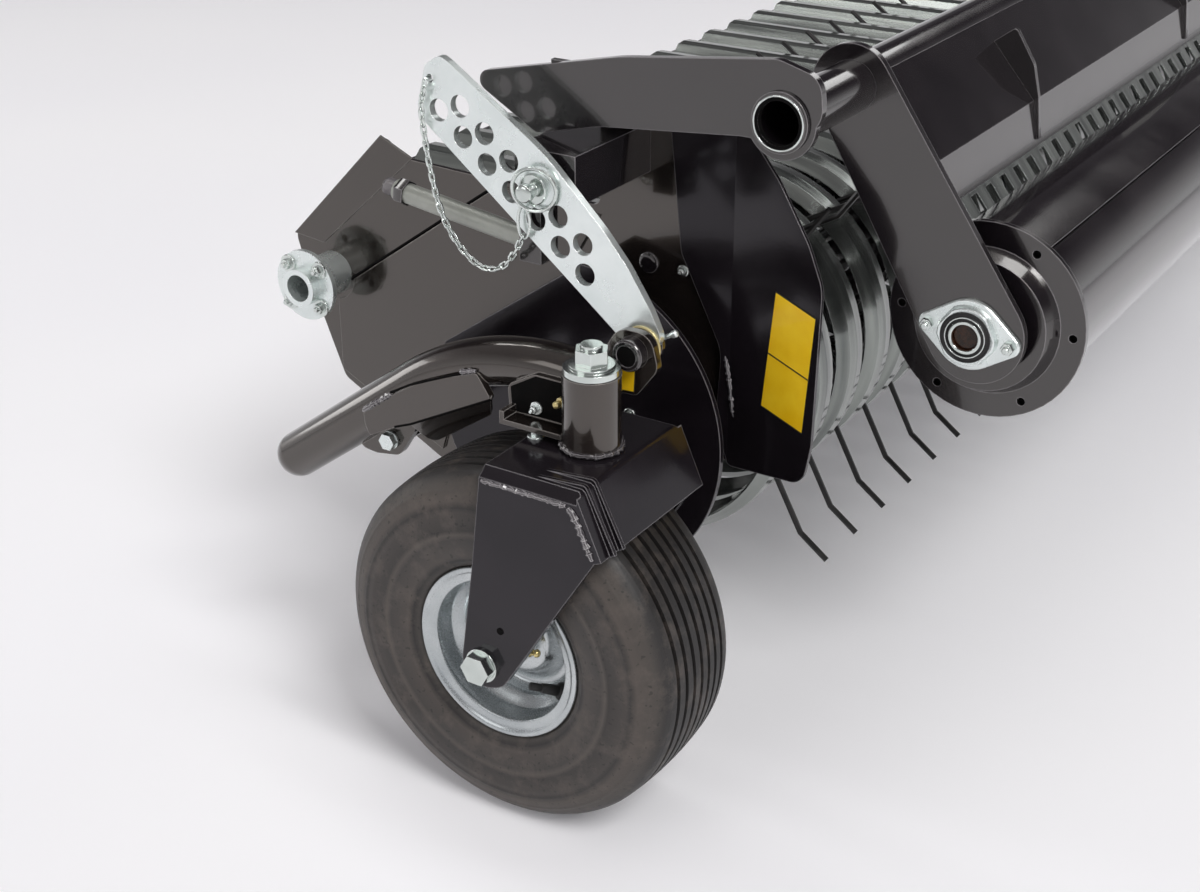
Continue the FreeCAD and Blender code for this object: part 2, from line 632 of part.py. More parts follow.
def arm_path():
    """Corner points of the carrier tube: tail, bend and sleeve."""
    tail = (ARM_PIVOT[0] - 126.5, ARM_PIVOT[1] - 50.5)
    end = (KINGPIN_X - 8, (SLEEVE_LOW + SLEEVE_HIGH) / 2 + 11)
    top = end[1] + 8
    corner = (tail[0] + (top - tail[1]) / math.tan(math.radians(ARM_CLIMB)), top)
    return [Vector(x, ARM_TUBE_Y, z) for x, z in (tail, corner, end)]


def bent_rod(points, bend_r, r):
    """Round bar along straight runs, with every corner bent to one radius."""
    edges = []
    start = points[0]
    for before, corner, after in zip(points[:-2], points[1:-1], points[2:]):
        back = before - corner
        ahead = after - corner
        back.normalize()
        ahead.normalize()
        half = back.getAngle(ahead) / 2
        reach = bend_r / math.tan(half)
        inward = back + ahead
        inward.normalize()
        middle = corner + inward * (bend_r / math.sin(half) - bend_r)
        edges.append(Part.LineSegment(start, corner + back * reach).toShape())
        edges.append(Part.Arc(corner + back * reach, middle, corner + ahead * reach).toShape())
        start = corner + ahead * reach
    edges.append(Part.LineSegment(start, points[-1]).toShape())
    ring = Part.Wire([Part.Circle(points[0], points[1] - points[0], r).toShape()])
    return Part.Wire(edges).makePipe(Part.Face(ring))


def carrier_tube():
    """Bent tube from the domed tail over the wheel to the kingpin sleeve."""
    path = arm_path()
    tube = bent_rod(path, ARM_BEND_R, ARM_TUBE_R)
    tail = Part.makeSphere(ARM_TUBE_R, path[0])
    tube = tube.fuse(tail)
    return tube.cut(upright(KINGPIN_X, WHEEL_Y, SLEEVE_R, SLEEVE_LOW - 20, SLEEVE_HIGH + 30))


def carrier_fin():
    """Gusset welded on the tube's outer side, its lower edge folded in under the tube."""
    face = ARM_TUBE_Y + ARM_TUBE_R + FIN_PROUD
    tail, corner, _ = [(p.x, p.z) for p in arm_path()]
    start = (tail[0] + 112, tail[1] + 88)
    seam = [start, shifted(start, [(73, 49)])[0], (corner[0] + 10, corner[1] - 18)]
    foot = shifted(start, [(-7, -39), (6, -26), (39, -9), (58, -1)])
    crease = [foot[3], shifted(foot[3], [(97, 50)])[0]]
    outline = seam + [crease[1], foot[3], foot[2], foot[1], shifted(start, [(1, -14)])[0]]
    fin = plate(outline, [2, 250, 4, 4, 0, 20, 3, 4], face - PLATE, face)
    fold = plate([crease[0], crease[1], shifted(crease[1], [(-6, -24)])[0],
                  shifted(crease[0], [(14, -30)])[0]], [0, 0, 8, 10], face - 5, face)
    axis = Vector(crease[1][0] - crease[0][0], 0, crease[1][1] - crease[0][1])
    fold.rotate(Vector(crease[0][0], face, crease[0][1]), axis, -35)
    return fin.fuse(fold)


def carrier_lug():
    """Lug under the tube that the carrier swings on."""
    y0 = ARM_TUBE_Y - PLATE / 2
    px, pz = ARM_PIVOT
    outline = shifted(ARM_PIVOT, [(-30, 26), (-42, -5), (-38, -18), (-20, -20), (10, -15),
                                  (31, 18), (26, 40)])
    lug = plate(outline, [0, 4, 8, 10, 14, 8, 0], y0, y0 + PLATE)
    return lug.cut(cyl(px, pz, PIVOT_BOLT_R, y0 - 5, y0 + PLATE + 5))


def carrier_pivot():
    """Pivot bolt of the carrier, from the fin to a boss on the side plate."""
    x, z = ARM_PIVOT
    face = ARM_TUBE_Y + PLATE / 2
    bolt = cyl(x, z, PIVOT_BOLT_R, SIDE_Y + 20, face)
    return bolt.fuse([cyl(x, z, 9.5, face, face + 2), hexagon(x, z, 16, face + 2, face + 9)])


def pivot_boss():
    """Spacer tube on the side plate that the carrier swings against."""
    x, z = ARM_PIVOT
    end = ARM_TUBE_Y - PLATE / 2
    boss = cyl(x, z, BOSS_R, SIDE_Y, end)
    return boss.cut(cyl(x, z, PIVOT_BOLT_R, SIDE_Y + 20, end + 20))


def kingpin_sleeve():
    """Upright bearing tube for the caster fork's kingpin."""
    sleeve = upright(KINGPIN_X, WHEEL_Y, SLEEVE_R, SLEEVE_LOW, SLEEVE_HIGH)
    return sleeve.cut(upright(KINGPIN_X, WHEEL_Y, KINGPIN_R + RUNNING, SLEEVE_LOW - 30, SLEEVE_HIGH + 30))


def sleeve_bracket():
    """Folded tray between the carrier tube and the sleeve."""
    x1 = KINGPIN_X - 23
    z0 = SLEEVE_LOW + 6.5
    y0 = WHEEL_Y - 12
    web = plate([(x1 - 71, z0 + 31), (x1 - 69, z0), (x1, z0), (x1, z0 + 47), (x1 - 41, z0 + 47)],
                [10, 4, 0, 0, 8], y0, y0 + PLATE)
    lip = box(x1 - 67, x1, y0, y0 + 28, z0, z0 + 5)
    curl = box(x1 - 67, x1 - 62, y0, y0 + 28, z0, z0 + 13)
    solid = web.fuse([lip, curl]).cut(carrier_tube())
    return solid.cut(upright(KINGPIN_X, WHEEL_Y, SLEEVE_R, SLEEVE_LOW - 50, SLEEVE_HIGH + 30))


def carrier_arm():
    """Weldment that carries the caster: tube, gusset, bracket, sleeve and bar lug."""
    lug = plate(shifted(BAR_PIVOT, [(-54, -42), (4, -42), (26, -12), (18, 20), (-16, 20)]),
                [6, 10, 14, 18, 20], BAR_Y + 8, BAR_Y + 16)
    lug = lug.cut(cyl(BAR_PIVOT[0], BAR_PIVOT[1], BUSH_R, BAR_Y - 9, BAR_Y + 40))
    arm = carrier_tube().fuse([carrier_fin(), carrier_lug(), sleeve_bracket(), kingpin_sleeve(), lug])
    return arm.cut(upright(KINGPIN_X, WHEEL_Y, KINGPIN_R + RUNNING, SLEEVE_LOW - 30, SLEEVE_HIGH + 30))


def height_bar():
    """Perforated bar that sets the wheel's height, zinc-plated."""
    foot = shifted(BAR_PIVOT, [(-41, 100), (-16, 71), (8, 35), (20, 10), (10, -6), (-10, -18), (-27, 6)])
    head = shifted(ROW_LOW[0], [(-21, -10), (-24, 1), (-14, 40), (2, 51), (12, 46)])
    side = shifted(PIN_HOLE, [(13, 34)])
    bar = plate(head + side + foot, [16, 8, 8, 12, 12, 200, 120, 60, 60, 14, 16, 16, 60],
                BAR_Y - PLATE, BAR_Y)
    for x, z in ROW_LOW + ROW_HIGH:
        bar = bar.cut(cyl(x, z, HEIGHT_HOLE_R, BAR_Y - 20, BAR_Y + 20))
    chain_x, chain_z = shifted(ROW_LOW[0], [(-9, 28)])[0]
    bar = bar.cut(cyl(chain_x, chain_z, 4, BAR_Y - 20, BAR_Y + 20))
    return bar.cut(cyl(BAR_PIVOT[0], BAR_PIVOT[1], 10, BAR_Y - 20, BAR_Y + 20))


def bar_pivot():
    """Cross bush at the foot of the height bar, with its pin."""
    x, z = BAR_PIVOT
    bush = cyl(x, z, BUSH_R, BAR_Y, BAR_Y + 27)
    pin = cyl(x, z, 10, BAR_Y - PLATE - 8, BAR_Y)
    washer = cyl(x, z, BUSH_R + 1, BAR_Y - PLATE - 5, BAR_Y - PLATE)
    return bush.fuse([pin, washer])


def receiver_beam():
    """Stub box beam on the side plate that the height pin locks into."""
    x0, x1 = PIN_HOLE[0] - 30, PIN_HOLE[0] + 36
    z0, z1 = PIN_HOLE[1] - 16, PIN_HOLE[1] + 32
    wall = 5.0
    end = BAR_Y - PLATE - SHEET
    beam = box(x0, x1, SIDE_Y, end, z0, z1)
    beam = beam.cut(box(x0 + wall, x1 - wall, SIDE_Y - 1, end - 6, z0 + wall, z1 - wall))
    lug = box(x0 + 6, x0 + 30, ROD_Y - ROD_R - 4, ROD_Y + ROD_R + 4, z0 - 46 - ROD_R - 4, z0)
    pin = cyl(PIN_HOLE[0], PIN_HOLE[1], PIN_R, BAR_Y - 30, BAR_Y)
    return beam.fuse(lug).cut([pin, tie_rod()])


def height_pin():
    """Pin with a round washer and grip, through bar and beam."""
    x, z = PIN_HOLE
    shank = cyl(x, z, PIN_R, BAR_Y - 40, BAR_Y)
    return shank.fuse([cyl(x, z, PIN_R + 7, BAR_Y, BAR_Y + 4), cyl(x, z, PIN_R + 1, BAR_Y + 4, BAR_Y + 20)])


def tie_rod():
    """Stop rod from the lug under the beam, with its end hanging free."""
    x, z = PIN_HOLE[0], PIN_HOLE[1] - 62
    return rod([Vector(x - 176, ROD_Y, z + 24), Vector(x, ROD_Y, z)], ROD_R)


# ---------------------------------------------------------------- caster fork and wheel
LIP_ANGLE = 49.5                    # direction of the fork's front lip from the axle
STRIP_STATIONS = (56.0, 70.0)       # cover strips at the outer corner
CROWN_BEVEL = 9.0                   # along the crown's sides


def crown_lip():
    """Lower edge of the fork's front plate, just clear of the tyre."""
    return polar((WHEEL_X, WHEEL_Z), TYRE_R + 5.5, LIP_ANGLE)


def fork():
    """Caster fork: bent crown plate with a leg plate on each side."""
    x, z = WHEEL_X, WHEEL_Z
    lip = crown_lip()
    top = CROWN_TOP
    front = KINGPIN_X + 40
    leg_top = top - 4
    leg_outline = [(x - 9, (leg_top + z) / 2 - 1), (x + 3, leg_top), (front - 4, leg_top),
                   (lip[0] + 1, lip[1] + 2), (KINGPIN_X + 20, lip[1] - 62), (KINGPIN_X - 22, z + 14),
                   (x + 22, z - 18), (x - 4, z - 27), (x - 24, z - 4)]
    radii = [30, 4, 6, 8, 30, 30, 22, 22, 18]
    span = LEG_GAP + PLATE
    crown_outline = [(x + 3, top - PLATE), (x + 3, top), (front, top), (lip[0] + 7, lip[1] + 3),
                     lip, (front - 6, top - PLATE)]
    crown = plate(crown_outline, [0, 0, 6, 0, 0, 2], WHEEL_Y - span, WHEEL_Y + span)
    strip_outline = [(x + 30, top - 2), (front + 1, top + 4), (lip[0] + 12, lip[1] + 5),
                     (lip[0] + 4, lip[1] + 1), (front - 5, top - 3)]
    pieces = []
    for dy in STRIP_STATIONS:
        pieces.append(plate(strip_outline, [0, 6, 0, 0, 2], WHEEL_Y + dy, WHEEL_Y + dy + 4))
    for y in (WHEEL_Y - span, WHEEL_Y + LEG_GAP):
        pieces.append(plate(leg_outline, radii, y, y + PLATE))
    solid = crown.fuse(pieces).removeSplitter()
    for side in (-1, 1):
        edge = [(span - CROWN_BEVEL, top), (span, top + CROWN_BEVEL), (span + 1, top),
                (span + 1, top - CROWN_BEVEL - 1)]
        wedge = Part.makePolygon([Vector(x, WHEEL_Y + side * y, level) for y, level in edge + edge[:1]])
        solid = solid.cut(Part.Face(wedge).extrude(Vector(front - x + 1, 0, 0)))
    solid = solid.cut(cyl(x, z, AXLE_R, WHEEL_Y - span - 20, WHEEL_Y + span + 20))
    return solid.cut(upright(KINGPIN_X, WHEEL_Y, KINGPIN_R, top - 50, top + 10))


def kingpin():
    """Kingpin through the sleeve, with its washers and nut."""
    base = SLEEVE_HIGH + SEAT
    pin = upright(KINGPIN_X, WHEEL_Y, KINGPIN_R, CROWN_TOP - PLATE, base + 6)
    corners = [Vector(x, y, base + 9) for x, y in
               (polar((KINGPIN_X, WHEEL_Y), 28 / math.sqrt(3), 60 * k) for k in range(6))]
    nut = Part.Face(Part.makePolygon(corners + [corners[0]])).extrude(Vector(0, 0, 14))
    return pin.fuse([upright(KINGPIN_X, WHEEL_Y, SLEEVE_R - 1, base, base + 6),
                     upright(KINGPIN_X, WHEEL_Y, SLEEVE_R - 6, base + 6, base + 9), nut,
                     upright(KINGPIN_X, WHEEL_Y, 10, base + 23, base + 27)])


def axle_bolt():
    """Wheel axle bolt through both fork legs, with washers, head and nut."""
    x, z = WHEEL_X, WHEEL_Z
    y_in, y_out = WHEEL_Y - LEG_GAP - PLATE, WHEEL_Y + LEG_GAP + PLATE
    bolt = cyl(x, z, AXLE_R, y_in, y_out)
    parts = [cyl(x, z, 17, y_out, y_out + 3), hexagon(x, z, 27, y_out + 3, y_out + 14),
             cyl(x, z, 17, y_in - 3, y_in), hexagon(x, z, 27, y_in - 15, y_in - 3)]
    return bolt.fuse(parts)


def rim():
    """Two-flange rim with a dished centre and hub tube."""
    seat, flange = RIM_SEAT_R, RIM_FLANGE_R
    half = TYRE_W / 2 - 8
    side = [(half, flange), (half - 5, flange), (half - 7, seat), (half - 26, seat), (half - 36, seat - 11)]
    well = [(half, flange - 8), (half - 4, seat - 4), (half - 28, seat - 4), (half - 39, seat - 15)]
    outer = [(-y, r) for y, r in side] + side[::-1]
    profile = outer + well + [(-y, r) for y, r in well[::-1]]
    solid = revolve_y([(WHEEL_Y + y, r) for y, r in profile], WHEEL_X, WHEEL_Z)
    dish = [(half - 39, seat - 14), (half - 50, seat - 24), (half - 50, 44), (half - 32, 34),
            (half - 32, HUB_R - 1), (half - 37, HUB_R - 1), (half - 37, 32), (half - 56, 42),
            (half - 56, seat - 24), (half - 46, seat - 12)]
    dish = revolve_y([(WHEEL_Y + y, r) for y, r in dish], WHEEL_X, WHEEL_Z)
    hub_end = LEG_GAP - SEAT
    hub = cyl(WHEEL_X, WHEEL_Z, HUB_R, WHEEL_Y - hub_end, WHEEL_Y + hub_end)
    solid = solid.fuse([dish, hub]).removeSplitter()
    return solid.cut(cyl(WHEEL_X, WHEEL_Z, AXLE_R + RUNNING, WHEEL_Y - 90, WHEEL_Y + 90))


def tyre():
    """Implement tyre on the rim's seats, hollow inside."""
    seat, flange = RIM_SEAT_R, RIM_FLANGE_R
    half = TYRE_W / 2
    wall = TYRE_R - flange
    side = [(half - 15, seat), (half - 13, flange), (half - 7.5, flange + 1),
            (half - 2, flange + 0.22 * wall), (half, flange + 0.45 * wall),
            (half - 2, flange + 0.68 * wall), (half - 9, flange + 0.87 * wall), (half - 22, TYRE_R - 4)]
    lining = [(half - 44, TYRE_R - 13), (half - 16, flange + 0.7 * wall), (half - 11, flange + 0.42 * wall),
              (half - 24, flange + 3), (half - 29, seat)]
    outer = side + [(0, TYRE_R)] + [(-y, r) for y, r in side[::-1]]
    inner = [(-y, r) for y, r in lining[::-1]] + lining
    return revolve_y([(WHEEL_Y + y, r) for y, r in outer + inner], WHEEL_X, WHEEL_Z)


# ---------------------------------------------------------------- build
def main():
    os.makedirs(OUT, exist_ok=True)
    save("pivot_tube", pivot_tube())
    save_twin("pivot_flanges", pivot_flange())
    save_pair("side_plate", side_plate())
    save_pair("end_disc", end_disc())
    save_pair("side_guard", side_guard())
    save("stripper_bands", stripper_bands())
    save("band_rail_upper", band_rail_upper())
    save("band_rail_lower", band_rail_lower())
    save("reel_shaft", reel_shaft())
    save("reel_spiders", reel_spiders())
    save("tine_bars", tine_bars())
    save("tines", [pair for angle in bar_angles() for pair in tine_row(angle)])
    save_pair("guard_bar", guard_bar())
    save_twin("guard_brackets", guard_bracket())
    save("hinge_tube", hinge_tube())
    save_pair("guard_arm", guard_arm())
    save_twin("flange_bearings", flange_bearing())
    save("comb_strip", comb_strip())
    save("guard_panel", guard_panel())
    save("guard_ribs", [guard_rib(y) for y in GUARD_RIBS])
    save("deflector_sheet", deflector_sheet())
    save("crop_roller", crop_roller())
    save_twin("roller_discs", roller_disc())
    save_pair("carrier_arm", carrier_arm())
    save_twin("carrier_pivots", carrier_pivot())
    save_twin("pivot_bosses", pivot_boss())
    save_pair("height_bar", height_bar())
    save_twin("bar_pivots", bar_pivot())
    save_twin("receiver_beams", receiver_beam())
    save_pair("height_pin", height_pin())
    save_twin("tie_rods", tie_rod())
    save_pair("fork", fork())
    save_pair("kingpin", kingpin())
    save_pair("axle_bolt", axle_bolt())
    save_pair("rim", rim())
    save_pair("tyre", tyre())


main()
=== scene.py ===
import bpy, bmesh, json, math, random
from mathutils import Vector, Matrix


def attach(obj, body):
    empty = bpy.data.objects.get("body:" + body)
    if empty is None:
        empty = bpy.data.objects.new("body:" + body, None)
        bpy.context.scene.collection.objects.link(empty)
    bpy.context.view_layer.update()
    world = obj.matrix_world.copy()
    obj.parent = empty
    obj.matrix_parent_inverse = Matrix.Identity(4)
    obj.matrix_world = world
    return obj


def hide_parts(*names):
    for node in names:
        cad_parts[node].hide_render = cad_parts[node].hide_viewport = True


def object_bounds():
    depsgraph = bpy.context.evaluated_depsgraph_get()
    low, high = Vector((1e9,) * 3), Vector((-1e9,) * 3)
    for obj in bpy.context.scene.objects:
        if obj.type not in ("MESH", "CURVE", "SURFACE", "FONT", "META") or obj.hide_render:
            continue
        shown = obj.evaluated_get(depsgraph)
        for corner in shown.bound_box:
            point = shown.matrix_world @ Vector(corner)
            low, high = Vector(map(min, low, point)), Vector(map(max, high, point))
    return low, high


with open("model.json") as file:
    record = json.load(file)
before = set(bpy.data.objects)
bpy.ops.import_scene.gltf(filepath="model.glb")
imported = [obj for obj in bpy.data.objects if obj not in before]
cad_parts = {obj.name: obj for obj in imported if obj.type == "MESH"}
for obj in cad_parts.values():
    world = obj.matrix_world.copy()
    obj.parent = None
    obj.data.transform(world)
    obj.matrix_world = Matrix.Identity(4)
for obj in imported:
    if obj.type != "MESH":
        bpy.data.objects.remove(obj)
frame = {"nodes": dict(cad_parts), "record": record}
cad_box = [list(map(float, corner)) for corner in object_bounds()]

# Scene of the pickup unit.  Pieces are drawn in millimetres and go to metres in piece(); the camera, lamps and
# floor are in metres.  A place on an end is its (x, z), and a face is its distance from the mid-plane.
MM = 0.001
PI2 = 2 * math.pi
SIDES = (("right", -1), ("left", 1))        # name of each end, and the sign of its y

# ---------------------------------------------------------------- places shared with the frame
REEL = (377.0, -46.0)
BAR_ORBIT, BAR_LEAD = 112.0, -21.5          # tine bars: distance from the reel's axis, degrees to the first
BAND_PITCH, BAND_COUNT = 70.0, 27
WHEEL = (400.0, -215.0)
WHEEL_Y, TYRE_R, TYRE_HALF = 1150.0, 184.0, 74.0
LEG_FACE = 88.0                             # wheel's mid-plane to the outer face of a fork leg
CROWN_TOP = -10.0                           # top of the fork's crown
KINGPIN_X = 464.0
PIN_HOLE = (366.6, 198.3)
ROD_REACH, ROD_RISE = 176.0, 24.0           # stop rod: its run to the rear, and its rise on the way
ROD_DROP = 38.0                             # its rear end below the pin hole
BAR_FOOT = (482.0, 72.0)
HINGE = (583.0, 280.0)
ROLLER = (716.0, 70.0)

ROLLER_FACE = 866.0                 # end plate of the crop roller
ARM_FACE = 904.0                    # arm of the wind guard
PLATE_FACE = 950.0                  # side plate
FLANGE_FACE = 1000.0                # pivot flange and end disc
HINGE_END = 1045.0                  # end of the hinge tube
BAR_FACE = 1094.0                   # perforated height bar
LUG_FACE = 1110.0                   # carrier's lug at the bar's foot
FIN_FACE = 1141.0                   # carrier's gusset
WEB_FACE = 1146.0                   # web of the tray beside the kingpin's sleeve
GUARD_FACE, GUARD_FOLD = 958.0, 498.0       # side guard at its fold, and the fold's x
GUARD_SLOPE = 30.0 / 113.0                  # how the side guard flares forward of its fold


# ---------------------------------------------------------------- camera
CAMERA_PLACE = (1.2652, -2.3926, 0.7143)
CAMERA_TURN, CAMERA_TILT = 32.53, 26.07     # degrees round from straight along +Y, and down
CAMERA_LENS, SENSOR_WIDTH = 55.08, 36


def set_camera():
    """Camera low off the right front corner, looking down on the near gauge wheel."""
    az, el = math.radians(CAMERA_TURN), math.radians(CAMERA_TILT)
    data = bpy.data.cameras.new("camera")
    camera = bpy.data.objects.new("camera", data)
    bpy.context.scene.collection.objects.link(camera)
    right = Vector((math.cos(az), math.sin(az), 0))
    ahead = Vector((-math.sin(az) * math.cos(el), math.cos(az) * math.cos(el), -math.sin(el)))
    place = Matrix((right, right.cross(ahead), -ahead)).transposed().to_4x4()
    place.translation = Vector(CAMERA_PLACE)
    camera.matrix_world = place
    data.lens = CAMERA_LENS
    data.sensor_width = SENSOR_WIDTH
    data.clip_end = 50
    bpy.context.scene.camera = camera


# ---------------------------------------------------------------- materials
# The Scale of a noise counts its clouds to the metre, so 260 draws them 4 mm across.  A Mix of colours takes
# them on inputs 6 and 7 and gives the mixed one on output 2.
def srgb(code):
    """Linear colour from an sRGB hex value."""
    parts = [int(code[k:k + 2], 16) / 255 for k in (1, 3, 5)]
    return [c / 12.92 if c <= 0.04045 else ((c + 0.055) / 1.055) ** 2.4 for c in parts] + [1]


def lay_stops(marks, stops):
    """Set a ramp to (position, tone) stops; a tone is an sRGB hex value or a plain level."""
    def colour(tone):
        return srgb(tone) if isinstance(tone, str) else (tone, tone, tone, 1)
    for mark, (position, tone) in zip(marks, (stops[0], stops[-1])):
        mark.position, mark.color = position, colour(tone)
    for position, tone in stops[1:-1]:
        marks.new(position).color = colour(tone)


def add(tree, kind, settings=None, links=None, out=0):
    """Add one node and give one of its outputs: settings go to fields, sockets or stops, links to inputs."""
    made = tree.nodes.new(kind)
    for key, value in (settings or {}).items():
        if key == "stops":
            lay_stops(made.color_ramp.elements, value)
        elif isinstance(key, str) and hasattr(made, key):
            setattr(made, key, value)
        else:
            made.inputs[key].default_value = value
    for key, source in (links or {}).items():
        tree.links.new(source, made.inputs[key])
    return made.outputs[out]


def surface(name, **sockets):
    """New material with its shader and its place in the object; uniform values go straight on the sockets."""
    made = bpy.data.materials.new(name)
    made.use_nodes = True
    tree = made.node_tree
    shader = tree.nodes["Principled BSDF"]
    for key, value in sockets.items():
        shader.inputs[key.replace("_", " ")].default_value = value
    return made, tree, shader, add(tree, "ShaderNodeTexCoord", out="Object")


def edges_worn_and_highlit(tree, body, radius, worn):
    """Colour with the worn tone laid along sharp edges, as wear and as a painted highlight where the edges
    catch light, and a normal that rolls over them in radius mm.
    """
    bevel = add(tree, "ShaderNodeBevel", {"samples": 4, "Radius": radius * MM})
    flat = add(tree, "ShaderNodeNewGeometry", out="Normal")
    same = add(tree, "ShaderNodeVectorMath", {"operation": "DOT_PRODUCT"}, {0: bevel, 1: flat}, out="Value")
    edge = add(tree, "ShaderNodeValToRGB", {"stops": [(0.90, 1), (0.985, 0)]}, {"Fac": same})
    colour = add(tree, "ShaderNodeMix", {"data_type": "RGBA", 7: srgb(worn)}, {0: edge, 6: body}, out=2)
    return colour, bevel


def finish(tree, shader, colour, rough, relief, strength, depth, normal=None):
    """Link colour, roughness and a relief that is depth mm deep to the shader."""
    links = {"Height": relief, "Normal": normal} if normal else {"Height": relief}
    bump = add(tree, "ShaderNodeBump", {"Strength": strength, "Distance": depth * MM}, links)
    for socket, source in (("Base Color", colour), ("Roughness", rough), ("Normal", bump)):
        tree.links.new(source, shader.inputs[socket])


def enamel(name, low, high, worn, gloss=0.75, cloud=9.0, painted_reflection_tint="#fff9f3"):
    """Black two-pack enamel, sprayed: deep gloss, 4 mm orange peel, thin dust, worn edges with a painted
    highlight.
    """
    # The specular tint gives the reflections a painted colour cast.
    made, tree, shader, place = surface(name, Coat_Weight=gloss, Coat_Roughness=0.05, Coat_IOR=1.6,
                                        IOR=1.42 + 0.24 * gloss, Specular_Tint=srgb(painted_reflection_tint))
    dust = add(tree, "ShaderNodeTexNoise", {"Scale": cloud, "Detail": 8.0, "Roughness": 0.62},
               {"Vector": place})
    peel = add(tree, "ShaderNodeTexNoise", {"Scale": 260.0, "Detail": 2.0}, {"Vector": place})
    body = add(tree, "ShaderNodeValToRGB", {"stops": [(0.35, low), (0.72, high)]}, {"Fac": dust})
    rough = add(tree, "ShaderNodeValToRGB", {"stops": [(0.3, 0.12), (0.75, 0.22)]}, {"Fac": dust})
    colour, normal = edges_worn_and_highlit(tree, body, 1.5, worn)
    finish(tree, shader, colour, rough, peel, 0.05, 0.6, normal)
    return made


def band_enamel():
    """Dark grey enamel on spring-bent sheet, polished by crop: metallic, 11 mm streaks round the bend."""
    made, tree, shader, place = surface("enamel_on_band_sheet", Coat_Weight=0.5, Coat_Roughness=0.06,
                                        Metallic=0.74)
    stretch = add(tree, "ShaderNodeMapping", {"Scale": (5.0, 90.0, 5.0)}, {"Vector": place})
    streak = add(tree, "ShaderNodeTexNoise", {"Scale": 1.0, "Detail": 2.0}, {"Vector": stretch})
    body = add(tree, "ShaderNodeValToRGB", {"stops": [(0.3, "#646866"), (0.75, "#9ba09b")]}, {"Fac": streak})
    rough = add(tree, "ShaderNodeValToRGB", {"stops": [(0.3, 0.12), (0.7, 0.24)]}, {"Fac": streak})
    colour, normal = edges_worn_and_highlit(tree, body, 1.2, "#c4c8c6")
    finish(tree, shader, colour, rough, streak, 0.04, 0.6, normal)
    return made


def zinc(name, low, high, worn, metal=0.8, matt=0.2):
    """Zinc plate on steel: passivate in soft 55 mm clouds; rolling marks drawn 1.4 mm wide, to show."""
    made, tree, shader, place = surface(name, Metallic=metal)
    cloud = add(tree, "ShaderNodeTexNoise", {"Scale": 18.0, "Detail": 7.0, "Roughness": 0.6},
                {"Vector": place})
    grain = add(tree, "ShaderNodeTexNoise", {"Scale": 700.0, "Detail": 2.0}, {"Vector": place})
    body = add(tree, "ShaderNodeValToRGB", {"stops": [(0.3, low), (0.7, high)]}, {"Fac": cloud})
    rough = add(tree, "ShaderNodeValToRGB", {"stops": [(0.3, matt), (0.7, matt + 0.14)]}, {"Fac": cloud})
    colour, normal = edges_worn_and_highlit(tree, body, 0.8, worn)
    finish(tree, shader, colour, rough, grain, 0.05, 0.3, normal)
    return made


def rim_silver():
    """Silver wheel enamel: metal flake under gloss, drawn 0.7 mm wide, to show, and grey dust in the well."""
    made, tree, shader, place = surface("wheel_enamel_silver", Metallic=0.9, Coat_Weight=0.5,
                                        Coat_Roughness=0.08)
    flake = add(tree, "ShaderNodeTexVoronoi", {"Scale": 1400.0}, {"Vector": place}, out="Distance")
    dust = add(tree, "ShaderNodeTexNoise", {"Scale": 14.0, "Detail": 6.0}, {"Vector": place})
    body = add(tree, "ShaderNodeValToRGB", {"stops": [(0.35, "#a4aaac"), (0.68, "#c8cccd")]}, {"Fac": dust})
    rough = add(tree, "ShaderNodeValToRGB", {"stops": [(0.0, 0.2), (0.9, 0.31)]}, {"Fac": flake})
    colour, normal = edges_worn_and_highlit(tree, body, 0.8, "#dfe2e3")
    finish(tree, shader, colour, rough, flake, 0.04, 0.3, normal)
    return made


WALL_INNER, WALL_OUTER = 0.083, 0.187       # radii in metres between which the wall's tones are laid
WALL_TONES = (                              # share of that way, and the rubber's tone there
    (0.0, "#2b2725"), (0.10, "#403b37"), (0.14, "#231f1e"), (0.19, "#4d4641"), (0.36, "#3d3835"),
    (0.41, "#564f49"), (0.45, "#332e2b"), (0.62, "#443e3a"), (0.66, "#2c2826"), (0.72, "#544c46"),
    (0.86, "#48423d"), (0.93, "#262322"), (1.0, "#201d1d"))


